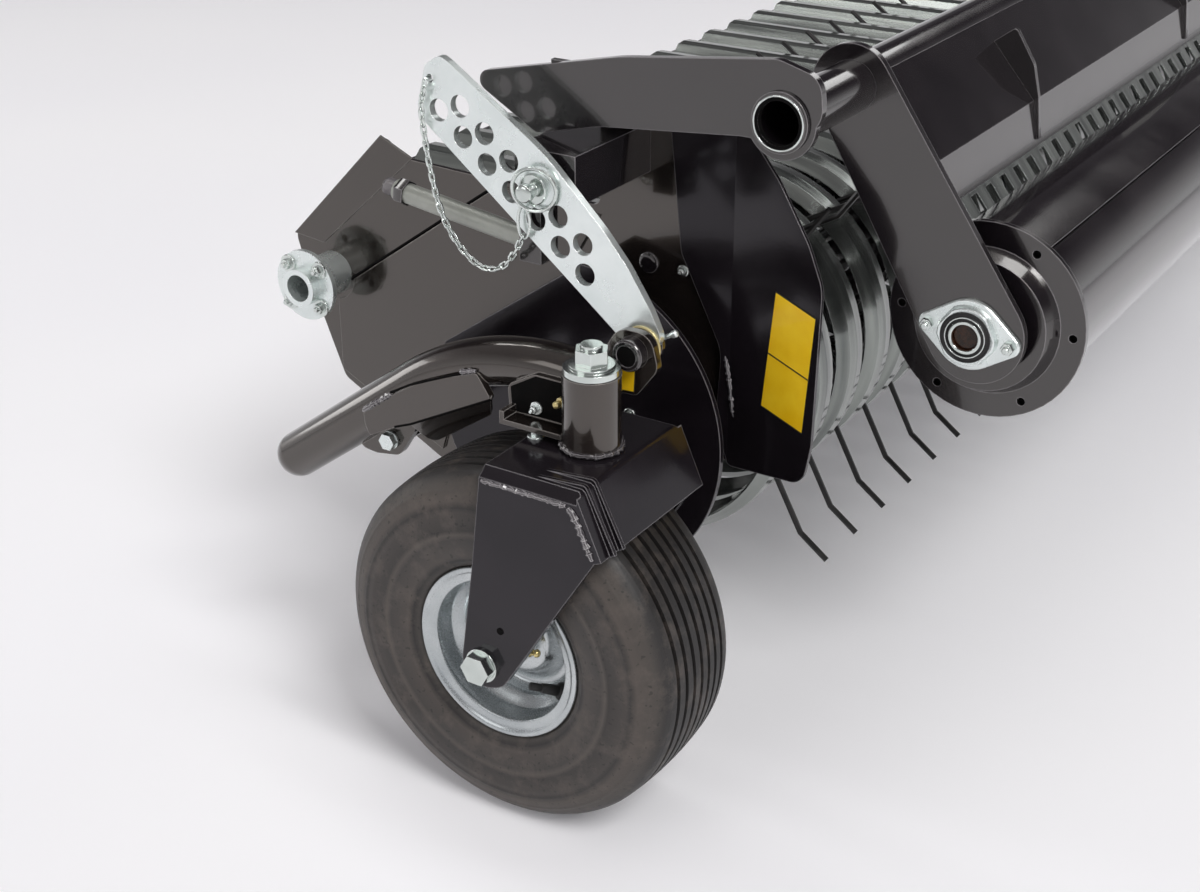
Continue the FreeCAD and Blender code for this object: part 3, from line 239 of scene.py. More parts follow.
def tyre_rubber():
    """Moulded carbon-black rubber, weathered brown-grey: mould rings round the wall, scuffs, 2 mm grain."""
    made, tree, shader, place = surface("rubber_moulded_weathered", IOR=1.52)
    stain = add(tree, "ShaderNodeTexNoise", {"Scale": 11.0, "Detail": 8.0, "Roughness": 0.66},
                {"Vector": place})
    grain = add(tree, "ShaderNodeTexNoise", {"Scale": 520.0, "Detail": 3.0}, {"Vector": place})
    scuff = add(tree, "ShaderNodeTexNoise", {"Scale": 46.0, "Detail": 6.0, "Roughness": 0.7},
                {"Vector": place})
    speck = add(tree, "ShaderNodeTexNoise", {"Scale": 230.0, "Detail": 1.0}, {"Vector": place})
    axle = Vector((WHEEL[0] * MM, 0, WHEEL[1] * MM))
    spoke = add(tree, "ShaderNodeVectorMath", {"operation": "SUBTRACT", 1: axle}, {0: place})
    spoke = add(tree, "ShaderNodeVectorMath", {"operation": "MULTIPLY", 1: (1, 0, 1)}, {0: spoke})
    radius = add(tree, "ShaderNodeVectorMath", {"operation": "LENGTH"}, {0: spoke}, out="Value")
    radius = add(tree, "ShaderNodeMath", {"operation": "MULTIPLY_ADD", 1: 0.002}, {0: stain, 2: radius})
    share = add(tree, "ShaderNodeMapRange", {1: WALL_INNER, 2: WALL_OUTER}, {0: radius})
    rings = add(tree, "ShaderNodeValToRGB", {"stops": WALL_TONES}, {"Fac": share})
    mask = add(tree, "ShaderNodeValToRGB", {"stops": [(0.48, 0), (0.74, 0.6)]}, {"Fac": scuff})
    worn = add(tree, "ShaderNodeMix", {"data_type": "RGBA", 7: srgb("#6a6058")}, {0: mask, 6: rings}, out=2)
    shade = add(tree, "ShaderNodeValToRGB", {"stops": [(0.3, 0.56), (0.7, 0.76)]}, {"Fac": stain})
    pits = add(tree, "ShaderNodeValToRGB", {"stops": [(0.66, 1), (0.72, 0.3)]}, {"Fac": speck})
    shade = add(tree, "ShaderNodeMix", {"data_type": "RGBA", "blend_type": "MULTIPLY", 0: 1.0},
                {6: shade, 7: pits}, out=2)
    colour = add(tree, "ShaderNodeMix", {"data_type": "RGBA", "blend_type": "MULTIPLY", 0: 0.8},
                 {6: worn, 7: shade}, out=2)
    rough = add(tree, "ShaderNodeValToRGB", {"stops": [(0.3, 0.42), (0.7, 0.62)]}, {"Fac": stain})
    finish(tree, shader, colour, rough, grain, 0.3, 0.6)
    return made


def clouded(name, scale, detail, tones, levels, strength, depth, top=0.7, **sockets):
    """Plain matter: one cloud drives its colour, its roughness and its relief."""
    made, tree, shader, place = surface(name, **sockets)
    cloud = add(tree, "ShaderNodeTexNoise", {"Scale": scale, "Detail": detail}, {"Vector": place})
    colour = add(tree, "ShaderNodeValToRGB", {"stops": [(0.35, tones[0]), (top, tones[1])]}, {"Fac": cloud})
    rough = add(tree, "ShaderNodeValToRGB", {"stops": [(0.3, levels[0]), (0.7, levels[1])]}, {"Fac": cloud})
    finish(tree, shader, colour, rough, cloud, strength, depth)
    return made


# ---------------------------------------------------------------- mesh shapes
def around(count):
    """Angles of points spread evenly round a circle."""
    return [PI2 * k / count for k in range(count)]


def polar(centre, radius, degrees):
    turn = math.radians(degrees)
    return centre[0] + radius * math.cos(turn), centre[1] + radius * math.sin(turn)


def moved(points, by):
    return [Vector(p) + Vector(by) for p in points]


def skin(count, sides, closed):
    """Faces over a row of rings: closed joins the last ring to the first, else both ends get a flat face."""
    faces = []
    for i in range(count if closed else count - 1):
        here, there = i * sides, (i + 1) % count * sides
        for k in range(sides):
            m = (k + 1) % sides
            faces.append((here + k, here + m, there + m, there + k))
    if not closed:
        faces.append(tuple(range(sides)))
        faces.append(tuple((count - 1) * sides + k for k in range(sides)))
    return faces


def sweep(path, radius, sides=8, closed=False):
    """Round wire along a path; the radius is one number or one for each point."""
    points = [Vector(p) for p in path]
    count = len(points)
    radii = radius if isinstance(radius, list) else [radius] * count
    verts = []
    normal = None
    for i, point in enumerate(points):
        before = points[i - 1] if closed or i else point
        after = points[(i + 1) % count] if closed or i < count - 1 else point
        along = (after - before).normalized()
        normal = along.orthogonal() if normal is None else normal - along * normal.dot(along)
        normal.normalize()
        across = along.cross(normal)
        for turn in around(sides):
            verts.append(point + (normal * math.cos(turn) + across * math.sin(turn)) * radii[i])
    return verts, skin(count, sides, closed)


def turned(profile, centre, axis, sides=48, closed=True):
    """Closed section of (along, radius) points, spun about an axis through centre."""
    along = Vector(axis).normalized()
    first = Vector((1, 0, 0)) if abs(along.x) < 0.9 else Vector((0, 0, 1))
    first = (first - along * first.dot(along)).normalized()
    second = along.cross(first)
    verts = []
    for step, radius in profile:
        for turn in around(sides):
            out = (first * math.cos(turn) + second * math.sin(turn)) * radius
            verts.append(Vector(centre) + along * step + out)
    return verts, skin(len(profile), sides, closed)


def knob(profile, centre, axis, sides):
    """Outline of (along, radius) points, spun about an axis, with a flat face at each end."""
    return turned(profile, centre, axis, sides, closed=False)


def softened(profile, times=2, closed=True):
    """Profile with its corners cut, again and again, to a smooth line."""
    for _ in range(times):
        count = len(profile)
        made = [] if closed else [profile[0]]
        for i in range(count if closed else count - 1):
            a, b = profile[i], profile[(i + 1) % count]
            made.append(tuple(0.75 * p + 0.25 * q for p, q in zip(a, b)))
            made.append(tuple(0.25 * p + 0.75 * q for p, q in zip(a, b)))
        profile = made if closed else made + [profile[-1]]
    return profile


def hex_head(centre, axis, across, height):
    """Hexagon bolt head or nut with its corners chamfered."""
    r = across / math.sqrt(3)
    return knob([(0, r), (height * 0.82, r), (height, r * 0.88)], centre, axis, 6)


def bolt(centre, axis, across, height, washer=True, thread=True):
    """Washer, hexagon head and domed thread end."""
    along = Vector(axis).normalized()
    base = Vector(centre)
    shank = across * 0.3
    parts = []
    if washer:
        rim, thick = across * 0.98, 2.2
        ring = [(0, rim), (1.6, rim), (thick, rim - 0.6), (thick, shank), (0, shank)]
        parts.append(turned(ring, base, axis, 28))
        base = base + along * thick
    parts.append(hex_head(base, axis, across, height))
    if thread:
        tip = [(-1, shank), (3, shank), (4, across * 0.22)]
        parts.append(knob(tip, base + along * height, axis, 16))
    return parts


def slab(corners, thickness):
    """Thin plate: its outline in space, and its thickness as a vector."""
    return moved(corners, (0, 0, 0)) + moved(corners, thickness), skin(2, len(corners), False)


WELD_STEP = 2.2


def weld(path, size, seed):
    """Weld bead: ripples every few millimetres, its width wandering a little."""
    draw = random.Random(seed)
    points, radii = [], []
    for a, b in zip(path[:-1], path[1:]):
        a, b = Vector(a), Vector(b)
        count = max(2, round((b - a).length / WELD_STEP))
        for k in range(count):
            points.append(a.lerp(b, k / count) + Vector([draw.uniform(-0.5, 0.5) for _ in range(3)]))
            radii.append(size * (0.78 + 0.3 * ((len(points) % 3) == 0) + draw.uniform(-0.12, 0.18)))
    points.append(Vector(path[-1]))
    radii.append(size * 0.6)
    radii[0] = size * 0.6
    return sweep(points, radii, 7)


def piece(name, parts, material, body, stands_for=(), smooth=38):
    """One scene object from mesh parts in millimetres, riding on a body."""
    verts, faces = [], []
    for points, polygons in parts:
        base = len(verts)
        verts += [tuple(c * MM for c in p) for p in points]
        faces += [tuple(i + base for i in polygon) for polygon in polygons]
    mesh = bpy.data.meshes.new(name)
    mesh.from_pydata(verts, [], faces)
    shape = bmesh.new()
    shape.from_mesh(mesh)
    bmesh.ops.recalc_face_normals(shape, faces=shape.faces)
    shape.to_mesh(mesh)
    shape.free()
    mesh.shade_smooth()
    mesh.set_sharp_from_angle(angle=math.radians(smooth))
    mesh.materials.append(material)
    made = bpy.data.objects.new(name, mesh)
    bpy.context.scene.collection.objects.link(made)
    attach(made, body)
    if stands_for:
        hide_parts(*stands_for)


# ---------------------------------------------------------------- gauge wheels
# Outlines are (y, radius), with y from the wheel's mid-plane or along a fitting from its root.
WALL_OUTLINE = [(59, 76.5), (61.5, 88), (66, 91), (70.8, 101), (73.4, 116), (73.9, 132), (73.0, 147),
                (69.5, 160), (63, 171), (56, 178), (50, 180.5)]
WALL_RINGS = (                      # radius, height and width of each raised ring
    (96.5, 1.0, 1.3), (101, 0.7, 1.0), (127, 0.6, 0.9), (143, 0.7, 1.0), (151, 0.9, 1.1), (166, 1.0, 1.2))
TREAD_GROOVES = (-39, -26, -13, 0, 13, 26, 39)
GROOVE_STEPS = ((-2.5, 0), (-1.7, 6.0), (1.7, 6.0), (2.5, 0))       # y from the groove's middle, and depth
TREAD_FALL = 3.0                    # how much the tread drops 50 mm from its middle
LINING_OUTLINE = [(-45, 76.5), (-50, 92), (-63, 128), (-56, 160), (-30, 171), (30, 171), (56, 160), (63, 128),
                  (50, 92), (45, 76.5)]
RIM_OUTLINE = [(60.4, 85), (59, 76.6), (57, 75.8), (40, 75.8), (38, 74), (31, 66), (28, 64.5), (-28, 64.5),
               (-31, 66), (-38, 74), (-40, 75.8), (-57, 75.8), (-59, 76.6), (-60.4, 85), (-61.5, 88.6),
               (-63.8, 89), (-66, 88), (-66, 84.5), (-63, 81), (-62, 74.5), (-60, 72.6), (-41, 72.2),
               (-39, 71), (-31.5, 62.5), (-28.5, 61), (10, 61), (12, 52), (13, 44), (28, 36), (30, 31),
               (30, 20), (34, 20), (34, 31), (32.5, 36), (17.5, 45.5), (16.2, 52), (18, 57), (24, 60.5),
               (28.5, 61), (31.5, 62.5), (39, 71), (41, 72.2), (60, 72.6), (62, 74.5), (63, 81), (66, 84.5),
               (66, 88), (63.8, 89), (61.5, 88.6)]
HUB_OUTLINE = [(-79, 22), (79, 22), (79.6, 21.4), (79.6, 10.2), (-79.6, 10.2), (-79.6, 21.4)]
VALVE_OUTLINE = [(-3, 9), (1, 9), (3.5, 7.6), (5, 5.6), (22, 4.6), (23, 3.6), (24, 3.9), (34, 3.9), (35, 2.6)]
VALVE_TURN, VALVE_Y, VALVE_R = -38, 35, 66          # valve's root in the rim: degrees, y and radius
NIPPLE_OUTLINE = [(0, 5), (8, 5), (8.5, 3.2), (13, 3.0), (14.5, 4.2), (17, 3.4), (18, 2)]
NIPPLE_TURN, NIPPLE_Y, NIPPLE_R = 6, 50, 20         # nipple's root on the hub, the same way


def tyre_outline():
    """Section of the ribbed implement tyre, from one bead over the tread to the other."""
    side = []
    for y, r in softened(WALL_OUTLINE, 3, closed=False):
        lift = sum(height * math.exp(-((r - at) / width) ** 2) for at, height, width in WALL_RINGS)
        side.append((min(y + lift * 0.6 - 0.6, TYRE_HALF), r))
    tread = []
    for groove in TREAD_GROOVES:
        for dy, depth in GROOVE_STEPS:
            y = groove + dy
            tread.append((y, TYRE_R - 0.4 - TREAD_FALL * (y / 50) ** 2 - depth))
    return [(-y, r) for y, r in side] + tread + side[::-1] + LINING_OUTLINE[::-1]


def spoke(degrees):
    x, z = polar((0, 0), 1, degrees)
    return Vector((x, 0, z))


def gauge_wheel(side, s):
    """Tyre, rim, hub, valve and grease nipple of one gauge wheel."""
    body = "gauge_wheel_" + side
    centre = Vector((WHEEL[0], s * WHEEL_Y, WHEEL[1]))
    out = Vector((0, s, 0))
    piece("ribbed_tyre_" + side, [turned(tyre_outline(), centre, out, 120)], RUBBER, body,
          ["tyre_" + side], 40)
    rim = [turned(softened(RIM_OUTLINE), centre, out, 96), turned(HUB_OUTLINE, centre, out)]
    piece("pressed_rim_" + side, rim, SILVER, body, ["rim_" + side], 35)
    way = spoke(VALVE_TURN)
    lean = (out * 0.75 - way * 0.66).normalized()
    valve = knob(VALVE_OUTLINE, centre + out * VALVE_Y + way * VALVE_R, lean, 20)
    piece("valve_stem_" + side, [valve], NITRILE, body)
    way = spoke(NIPPLE_TURN)
    nipple = knob(NIPPLE_OUTLINE, centre + out * NIPPLE_Y + way * NIPPLE_R, way, 14)
    piece("wheel_nipple_" + side, [nipple], ZINC_YELLOW, body)


# ---------------------------------------------------------------- spring tines
TINE_WIRE = 3.0
COIL_R, COIL_TURNS, COIL_STEPS = 18.6, 4, 12        # steps are points to a turn
COIL_START = 14                                     # degrees from the leg to the coil's first point
TINE_LEAN, TINE_HOOK, TINE_LEG, TINE_TIP = 40.0, 25.0, 130.0, 39.0


def tine_half(bar, angle, y_leg, inward):
    """Path of half a double tine: tip, knee, leg, and the coil winding towards the middle."""
    lean = angle - TINE_LEAN
    knee = polar(bar, TINE_LEG, lean)
    path = [polar(knee, TINE_TIP * share, lean + TINE_HOOK) for share in (1.0, 0.3, 0.12)] + [knee]
    path += [polar(bar, reach, lean) for reach in (TINE_LEG - 5, 60, 27)] + [polar(bar, 21.5, lean + 3)]
    points = [Vector((x, y_leg, z)) for x, z in path]
    for k in range(COIL_TURNS * COIL_STEPS + 1):
        x, z = polar(bar, COIL_R, lean + COIL_START + 360 * k / COIL_STEPS)
        points.append(Vector((x, y_leg + inward * (TINE_WIRE * 2.15) * k / COIL_STEPS, z)))
    return points


def spring_tines():
    """Every double tine in one piece: two hooked wires, two coils and the bridge between them."""
    parts = []
    pairs = (BAND_COUNT - 1) // 2
    for quarter in range(4):
        angle = BAR_LEAD + 90 * quarter
        bar = polar(REEL, BAR_ORBIT, angle)
        for k in range(pairs):
            y_mid = (2 * k - (pairs - 1)) * BAND_PITCH
            one = tine_half(bar, angle, y_mid - BAND_PITCH / 2, 1)
            two = tine_half(bar, angle, y_mid + BAND_PITCH / 2, -1)
            parts.append(sweep(one + two[::-1], TINE_WIRE, 6))
    piece("spring_tines", parts, SPRING, "reel", ["tines"], 50)


# ---------------------------------------------------------------- keeper chain and pull pin
CHAIN_PATH = [(254, 283), (247, 262), (248, 240), (254, 203), (264, 160), (284, 130), (309, 113), (331, 116),
              (348, 134), (358, 155)]
LINK_PITCH, LINK_WIRE = 7.4, 1.15
LINK_RUN, LINK_BEND, LINK_HALF = 2.6, 2.3, 2.4      # half its straight, its end's reach, and half its width
PIN_OUTLINE = [(-40, 8), (-38, 9), (0, 9), (0, 14.5), (2.4, 14.5), (3.2, 13.6), (3.2, 6.2), (11, 6.2),
               (11, 8.4), (17, 8.4), (18.5, 7), (19, 3)]


def chain_spots():
    """Points a link's pitch apart along the line on which the chain hangs."""
    line = softened(CHAIN_PATH, closed=False)
    spots, carried = [line[0]], 0.0
    for a, b in zip(line[:-1], line[1:]):
        run = math.dist(a, b)
        while carried + run >= LINK_PITCH:
            share = (LINK_PITCH - carried) / run
            a = tuple(p + (q - p) * share for p, q in zip(a, b))
            spots.append(a)
            run = math.dist(a, b)
            carried = 0.0
        carried += run
    return spots


def keeper_chain(side, s):
    """Short-link chain from the bar's top hole to the ring on the pin."""
    parts = []
    y = s * (BAR_FACE + 5.5)
    spots = chain_spots()
    for k, (a, b) in enumerate(zip(spots[:-1], spots[1:])):
        mid = Vector(((a[0] + b[0]) / 2, y, (a[1] + b[1]) / 2))
        along = Vector((b[0] - a[0], 0, b[1] - a[1])).normalized()
        flat = Vector((0, 1, 0))
        across = along.cross(flat) if k % 2 else flat
        across = (across + along.cross(across) * 0.35).normalized()
        oval = []
        for turn in around(14):
            long = math.copysign(LINK_RUN, math.cos(turn)) + LINK_BEND * math.cos(turn)
            oval.append(mid + along * long + across * LINK_HALF * math.sin(turn))
        parts.append(sweep(oval, LINK_WIRE, 6, closed=True))
    x, z = CHAIN_PATH[-1]
    ring = [(x + 1 + 6.5 * math.cos(t), y, z + 12 + 15 * math.sin(t)) for t in around(28)]
    parts.append(sweep(ring, 1.5, 7, closed=True))
    piece("keeper_chain_" + side, parts, ZINC_BRIGHT, "frame", smooth=50)


def pull_pin(side, s):
    """Pin of the perforated bar: washer, necked head, round grip ring and its cross wire."""
    x, z = PIN_HOLE
    grip = [(x + 5 + 21 * math.cos(t), s * (BAR_FACE + 7 - 4 * math.cos(t)), z + 2 + 19.5 * math.sin(t))
            for t in around(40)]
    wire = [(x - 8, s * (BAR_FACE + 14), z - 6), (x + 10, s * (BAR_FACE + 14), z + 8)]
    parts = [knob(PIN_OUTLINE, (x, s * BAR_FACE, z), (0, s, 0), 32), sweep(grip, 1.9, closed=True),
             sweep(wire, 1.6)]
    piece("pull_pin_" + side, parts, ZINC_BRIGHT, "frame", ["height_pin_" + side], 40)


# ---------------------------------------------------------------- welds, bolts and nipples
def fork_trim(side, s):
    """Weld beads under the fork's crown and down its legs, the crown's stop bolt and painted shade of a hole
    in the leg.
    """
    body = "caster_" + side
    face = s * (WHEEL_Y + LEG_FACE)
    inner = s * (WHEEL_Y - LEG_FACE)
    parts = []
    for n, y in enumerate((face, inner)):
        parts.append(weld([(405, y, -22), (494, y, -22)], 2.6, 11 + n))
        parts.append(weld([(497, y, -23), (503, y, -30), (521, y, -68)], 3.4, 31 + n))
    piece("fork_welds_" + side, parts, BEAD_PAINTED_HIGHLIGHT, body)
    # Painted shade: a near-black disc on the leg stands for the dark depth of a hole.
    hole = knob([(0, 3.6), (0.6, 3.6), (0.6, 1)], (421, face, -172), (0, s, 0), 14)
    piece("leg_hole_painted_shade_" + side, [hole], PAINTED_SHADE, body)
    stop = bolt((410, s * (WHEEL_Y + 10), CROWN_TOP), (0, 0, 1), 8, 3.4, thread=False)
    piece("stop_bolt_" + side, stop, ZINC, body)


def carrier_trim(side, s):
    """Welds on the gusset and sleeve; in the tray its bolt and the grease nipple; painted shade over the
    tray's web and along the gusset.
    """
    fin, web = s * FIN_FACE, s * WEB_FACE
    out = (0, s, 0)
    beads = [weld([(191, fin, -46), (206, fin, -35), (228, fin, -19)], 3.2, 5),
             weld([(312, fin, 24), (330, fin, 29)], 3.0, 6),
             weld([(441, web, 2), (441, web, 40)], 2.8, 7)]
    piece("carrier_welds_" + side, beads, BEAD_PAINTED_HIGHLIGHT, "frame")
    ring = [(KINGPIN_X + 28 * math.cos(t), s * WHEEL_Y + 28 * math.sin(t), -6.5) for t in around(24) + [PI2]]
    piece("sleeve_weld_" + side, [weld(ring, 2.6, 21)], BLACK, "frame")
    nipple = [(0, 4.5), (5, 4.5), (5.5, 2.8), (9, 2.8), (10.5, 3.8), (13, 3.2), (14, 1.6)]
    nipple = knob(nipple, (431, web, 26), out, 14)
    piece("sleeve_nipple_" + side, [nipple], ZINC_YELLOW, "frame")
    piece("tray_bolt_" + side, bolt((402, web, 11.6), out, 6.5, 5), ZINC, "frame")
    # Painted shade: a dull near-black sheet laid over the tray's web.
    film = [(x, s * (WEB_FACE + 0.1), z)
            for x, z in ((373.5, 26.5), (375, 3.2), (437, 3.2), (437, 42.5), (401, 42.5))]
    piece("tray_painted_shade_" + side, [slab(film, (0, s * 0.25, 0))], PAINTED_SHADE, "frame")
    # Painted shadow: thin dark lines along the gusset's seams.
    seam = [(231, fin, -53), (251, fin, -45), (347, fin, 4.5)]
    joint = [(228, fin, -17.0), (252, fin, -3.4), (274, fin, 6.3), (295, fin, 15.3), (313, fin, 22.8)]
    lines = [sweep(moved(run, (0, s * 0.6, 0)), 1.3, 6) for run in (seam, joint)]
    piece("gusset_painted_shadow_lines_" + side, lines, PAINTED_SHADE, "frame")


def bar_foot_trim(side, s):
    """Bush end with painted shade in its bore, plated ring and split pin at the foot of the perforated bar."""
    x, z = BAR_FOOT
    foot = (x, s * BAR_FACE, z)
    out = (0, s, 0)
    rim = [(27, 9.5), (28.4, 10), (28.4, 13.6), (27.4, 14.8), (26, 15.3), (25, 9.5)]
    piece("bush_rim_" + side, [turned(rim, foot, out, 40)], BLACK, "frame")
    # Painted shade: a near-black disc inside the bush's bore.
    bore = [(27, 9.5), (27.3, 9.5), (27.3, 2)]
    piece("bush_bore_painted_shade_" + side, [knob(bore, foot, out, 32)], PAINTED_SHADE, "frame")
    ring = [(0, 15.2), (2.2, 15.2), (2.2, 18.6), (1.4, 19.4), (0, 19.4)]
    piece("foot_ring_" + side, [turned(ring, foot, out, 40)], ZINC_YELLOW, "frame")
    y = s * (BAR_FACE - 12)
    split = [sweep([(x + 6, y, z + 3), (x + 27, y, z + 14)], 2.4, 10),
             knob([(-2, 3.4), (2, 3.4), (3.4, 2)], (x + 26, y, z + 13.5), (0.885, 0, 0.464), 12)]
    piece("foot_split_pin_" + side, split, ZINC, "frame")


def rod_end(side, s):
    """Black threaded end and lock nut at the rear of the stop rod."""
    rear = Vector((PIN_HOLE[0] - ROD_REACH, s * (BAR_FACE - 25), PIN_HOLE[1] - ROD_DROP))
    along = Vector((-ROD_REACH, 0, ROD_RISE)).normalized()
    thread = [(-1, 9)]
    for k in range(8):
        thread += [(k * 1.6, 8.6), (k * 1.6 + 0.8, 7.6)]
    thread += [(13.5, 7.8), (13.5, 4)]
    parts = [knob(thread, rear, along, 24), hex_head(rear - along * 13, along, 23, 11)]
    piece("rod_thread_" + side, parts, BLACK, "frame")


def frame_trim(side, s):
    """Flange bolts, small bolts, the guard's weld and a painted shadow line along the lapped sheet's edge."""
    out = (0, s, 0)
    parts = []
    for k in range(4):
        x, z = polar((0, 0), 30, 45 + 90 * k)
        parts += bolt((x, s * FLANGE_FACE, z), out, 10, 5)
    piece("pivot_bolts_" + side, parts, ZINC_BRIGHT, "frame")
    parts = bolt((412, s * FLANGE_FACE, -50), out, 7, 4) + bolt((443, s * (PLATE_FACE + 4), 92), out, 6, 3)
    piece("disc_bolts_" + side, parts, ZINC_BRIGHT, "frame")
    plug = knob([(0, 10.5), (2, 10.5), (3.2, 9), (3.4, 4)], (402, s * PLATE_FACE, 91), out, 28)
    piece("blind_plug_" + side, [plug], BLACK, "frame")
    run = [(493, s * (GUARD_FACE - 2), 16), (499, s * (GUARD_FACE - 1), -10), (505, s * GUARD_FACE, -46)]
    piece("guard_welds_" + side, [weld(run, 3.0, 9)], BEAD_PAINTED_HIGHLIGHT, "frame")
    # Painted shadow: a dark strip along the edge of the lapped sheet.
    lap = [(x, s * (PLATE_FACE + 0.2), z) for x, z in ((15, -12), (157, 89), (225, 137))]
    piece("lap_painted_shadow_" + side, [sweep(moved(lap, (-1.2, 0, 1.6)), 1.8, 6)], PAINTED_SHADE, "frame")


# ---------------------------------------------------------------- blank films
GUARD_FILM = ((552, 98), (599, 86), (590, -31), (540, -20))
LUG_FILM = ((461, 52), (484, 54), (483, 34), (461, 33))


def grown(corners, by):
    """Outline with each corner pushed away from its middle."""
    middle = sum(corners, Vector()) / len(corners)
    return [c + (c - middle).normalized() * by for c in corners]


def plates(side, s):
    """Blank yellow films on the side guard and on the carrier's lug, each with a thin dark border."""
    def laid(corners, lift, thick):
        return slab(moved(corners, (0, s * lift, 0)), (0, s * thick, 0))
    film = [Vector((x, s * (GUARD_FACE + (x - GUARD_FOLD) * GUARD_SLOPE + 0.1), z)) for x, z in GUARD_FILM]
    small = [Vector((x, s * (LUG_FACE + 0.1), z)) for x, z in LUG_FILM]
    films = [laid(film, 0.2, 0.5), laid(small, 0.2, 0.4)]
    piece("blank_films_" + side, films, YELLOW, "frame")
    middle = [film[0].lerp(film[3], 0.52), film[1].lerp(film[2], 0.52)]
    line = middle + moved(middle[::-1], (0, 0, -1.4))
    borders = [laid(line, 0.7, 0.25), laid(grown(film, 1.6), 0, 0.3), laid(grown(small, 1.2), 0, 0.3)]
    piece("film_borders_" + side, borders, NITRILE, "frame")


# ---------------------------------------------------------------- wind guard and crop roller
EAR = (39.5, -3.6)                  # bearing's centre to one of its bolts; the other is opposite
FLANGE_LOOPS = ((0, 34.0, 10.0), (3.6, 34.0, 10.0), (4.8, 32.8, 8.8))       # height, hub's and ears' radius
SEAT_RINGS = ((4.8, 29.5), (6.6, 28.5), (11.0, 27.8), (11.8, 26.8), (11.4, 24.2), (0, 24.0))
HOLE_ORBIT, HOLE_COUNT = 84.0, 6    # holes in the roller's end plate


def ear_outline(hub_r, ear_r):
    """Two-bolt flange: round hub with an ear each side, drawn in by tangents."""
    x, z = ROLLER
    lean = math.atan2(EAR[1], EAR[0])
    back = lean + math.pi
    swing = math.acos((hub_r - ear_r) / math.hypot(*EAR))
    arcs = (((x + EAR[0], z + EAR[1]), ear_r, lean - swing, lean + swing),
            (ROLLER, hub_r, lean + swing, back - swing),
            ((x - EAR[0], z - EAR[1]), ear_r, back - swing, back + swing),
            (ROLLER, hub_r, back + swing, lean + PI2 - swing))
    edge = []
    for centre, radius, start, stop in arcs:
        for k in range(12):
            turn = start + (stop - start) * k / 11
            edge.append((centre[0] + radius * math.cos(turn), centre[1] + radius * math.sin(turn)))
    return edge


def flange_housings():
    """Pressed housings of the crop roller's bearings, with their dished seats."""
    parts = []
    x, z = ROLLER
    for _, s in SIDES:
        loops = [[Vector((px, s * (ARM_FACE + y), pz)) for px, pz in ear_outline(hub, ear)]
                 for y, hub, ear in FLANGE_LOOPS]
        turns = [math.atan2(p.z - z, p.x - x) for p in loops[0]]
        loops += [[Vector((x + r * math.cos(t), s * (ARM_FACE + y), z + r * math.sin(t))) for t in turns]
                  for y, r in SEAT_RINGS]
        parts.append((sum(loops, []), skin(len(loops), len(turns), True)))
    piece("flange_housings", parts, ZINC, "wind_guard", ["flange_bearings"], 30)


def bearing_trim(side, s):
    """Insert, seal and bolts of the crop roller's flange bearing, and the bore of its shaft."""
    x, z = ROLLER
    seat = (x, s * ARM_FACE, z)
    out = (0, s, 0)
    race = [(9, 12.4), (13.0, 12.6), (13.6, 13.2), (13.6, 15.2), (13.0, 15.9), (9, 15.9)]
    piece("bearing_race_" + side, [turned(race, seat, out)], ZINC_BRIGHT, "crop_roller")
    bore = [(9.5, 13.4), (12.6, 12.6), (12.4, 12.0), (-30, 12.0)]
    piece("shaft_bore_" + side, [knob(bore, seat, out, 32)], RUSTY, "crop_roller")
    seal = [(10.2, 16.1), (12.0, 16.1), (11.6, 17.6), (12.6, 18.4), (12.6, 19.6), (11.6, 20.4), (11.6, 22.6),
            (12.4, 23.2), (12.3, 24.2), (10.2, 24.2)]
    piece("bearing_seal_" + side, [turned(seal, seat, out)], NITRILE, "wind_guard")
    parts = [turned([(11.0, 18.7), (13.0, 18.7), (13.0, 19.7), (11.0, 19.7)], seat, out)]
    for k in (-1, 1):
        parts += bolt((x + k * EAR[0], s * (ARM_FACE + 4.8), z + k * EAR[1]), out, 11, 6, washer=False)
    piece("bearing_bolts_" + side, parts, ZINC_BRIGHT, "wind_guard")


def guard_trim(side, s):
    """Bright ring on the hinge tube's open end as a painted highlight, painted shade in its mouth and in the
    roller plate's holes.
    """
    end = (HINGE[0], s * HINGE_END, HINGE[1])
    out = (0, s, 0)
    # Painted highlight: a bright zinc ring on the rim of the hinge tube's open end.
    lip = [(-0.6, 22.6), (0.5, 22.6), (0.8, 23.2), (0.5, 24.2), (-0.6, 24.2)]
    piece("hinge_lip_painted_highlight_" + side, [turned(lip, end, out, 56)], ZINC_BRIGHT, "wind_guard")
    # Painted shade: a near-black ring inside the tube's mouth.
    shade = [(-6, 19.3), (0.3, 19.5), (0.3, 22.6), (0.1, 22.6), (0.1, 19.7), (-6, 19.4)]
    piece("hinge_mouth_painted_shade_" + side, [turned(shade, end, out)], PAINTED_SHADE, "wind_guard")
    # Painted shade: near-black discs just under the face, in each hole of the roller's end plate.
    hole = [(-5.9, 4.05), (-0.2, 4.05), (-0.2, 3.7), (-5.4, 3.6), (-5.5, 0.5)]
    parts = []
    for k in range(HOLE_COUNT):
        x, z = polar(ROLLER, HOLE_ORBIT, 360 / HOLE_COUNT * k)
        parts.append(knob(hole, (x, s * ROLLER_FACE, z), out, 16))
    piece("roller_hole_painted_shade_" + side, parts, PAINTED_SHADE, "crop_roller")


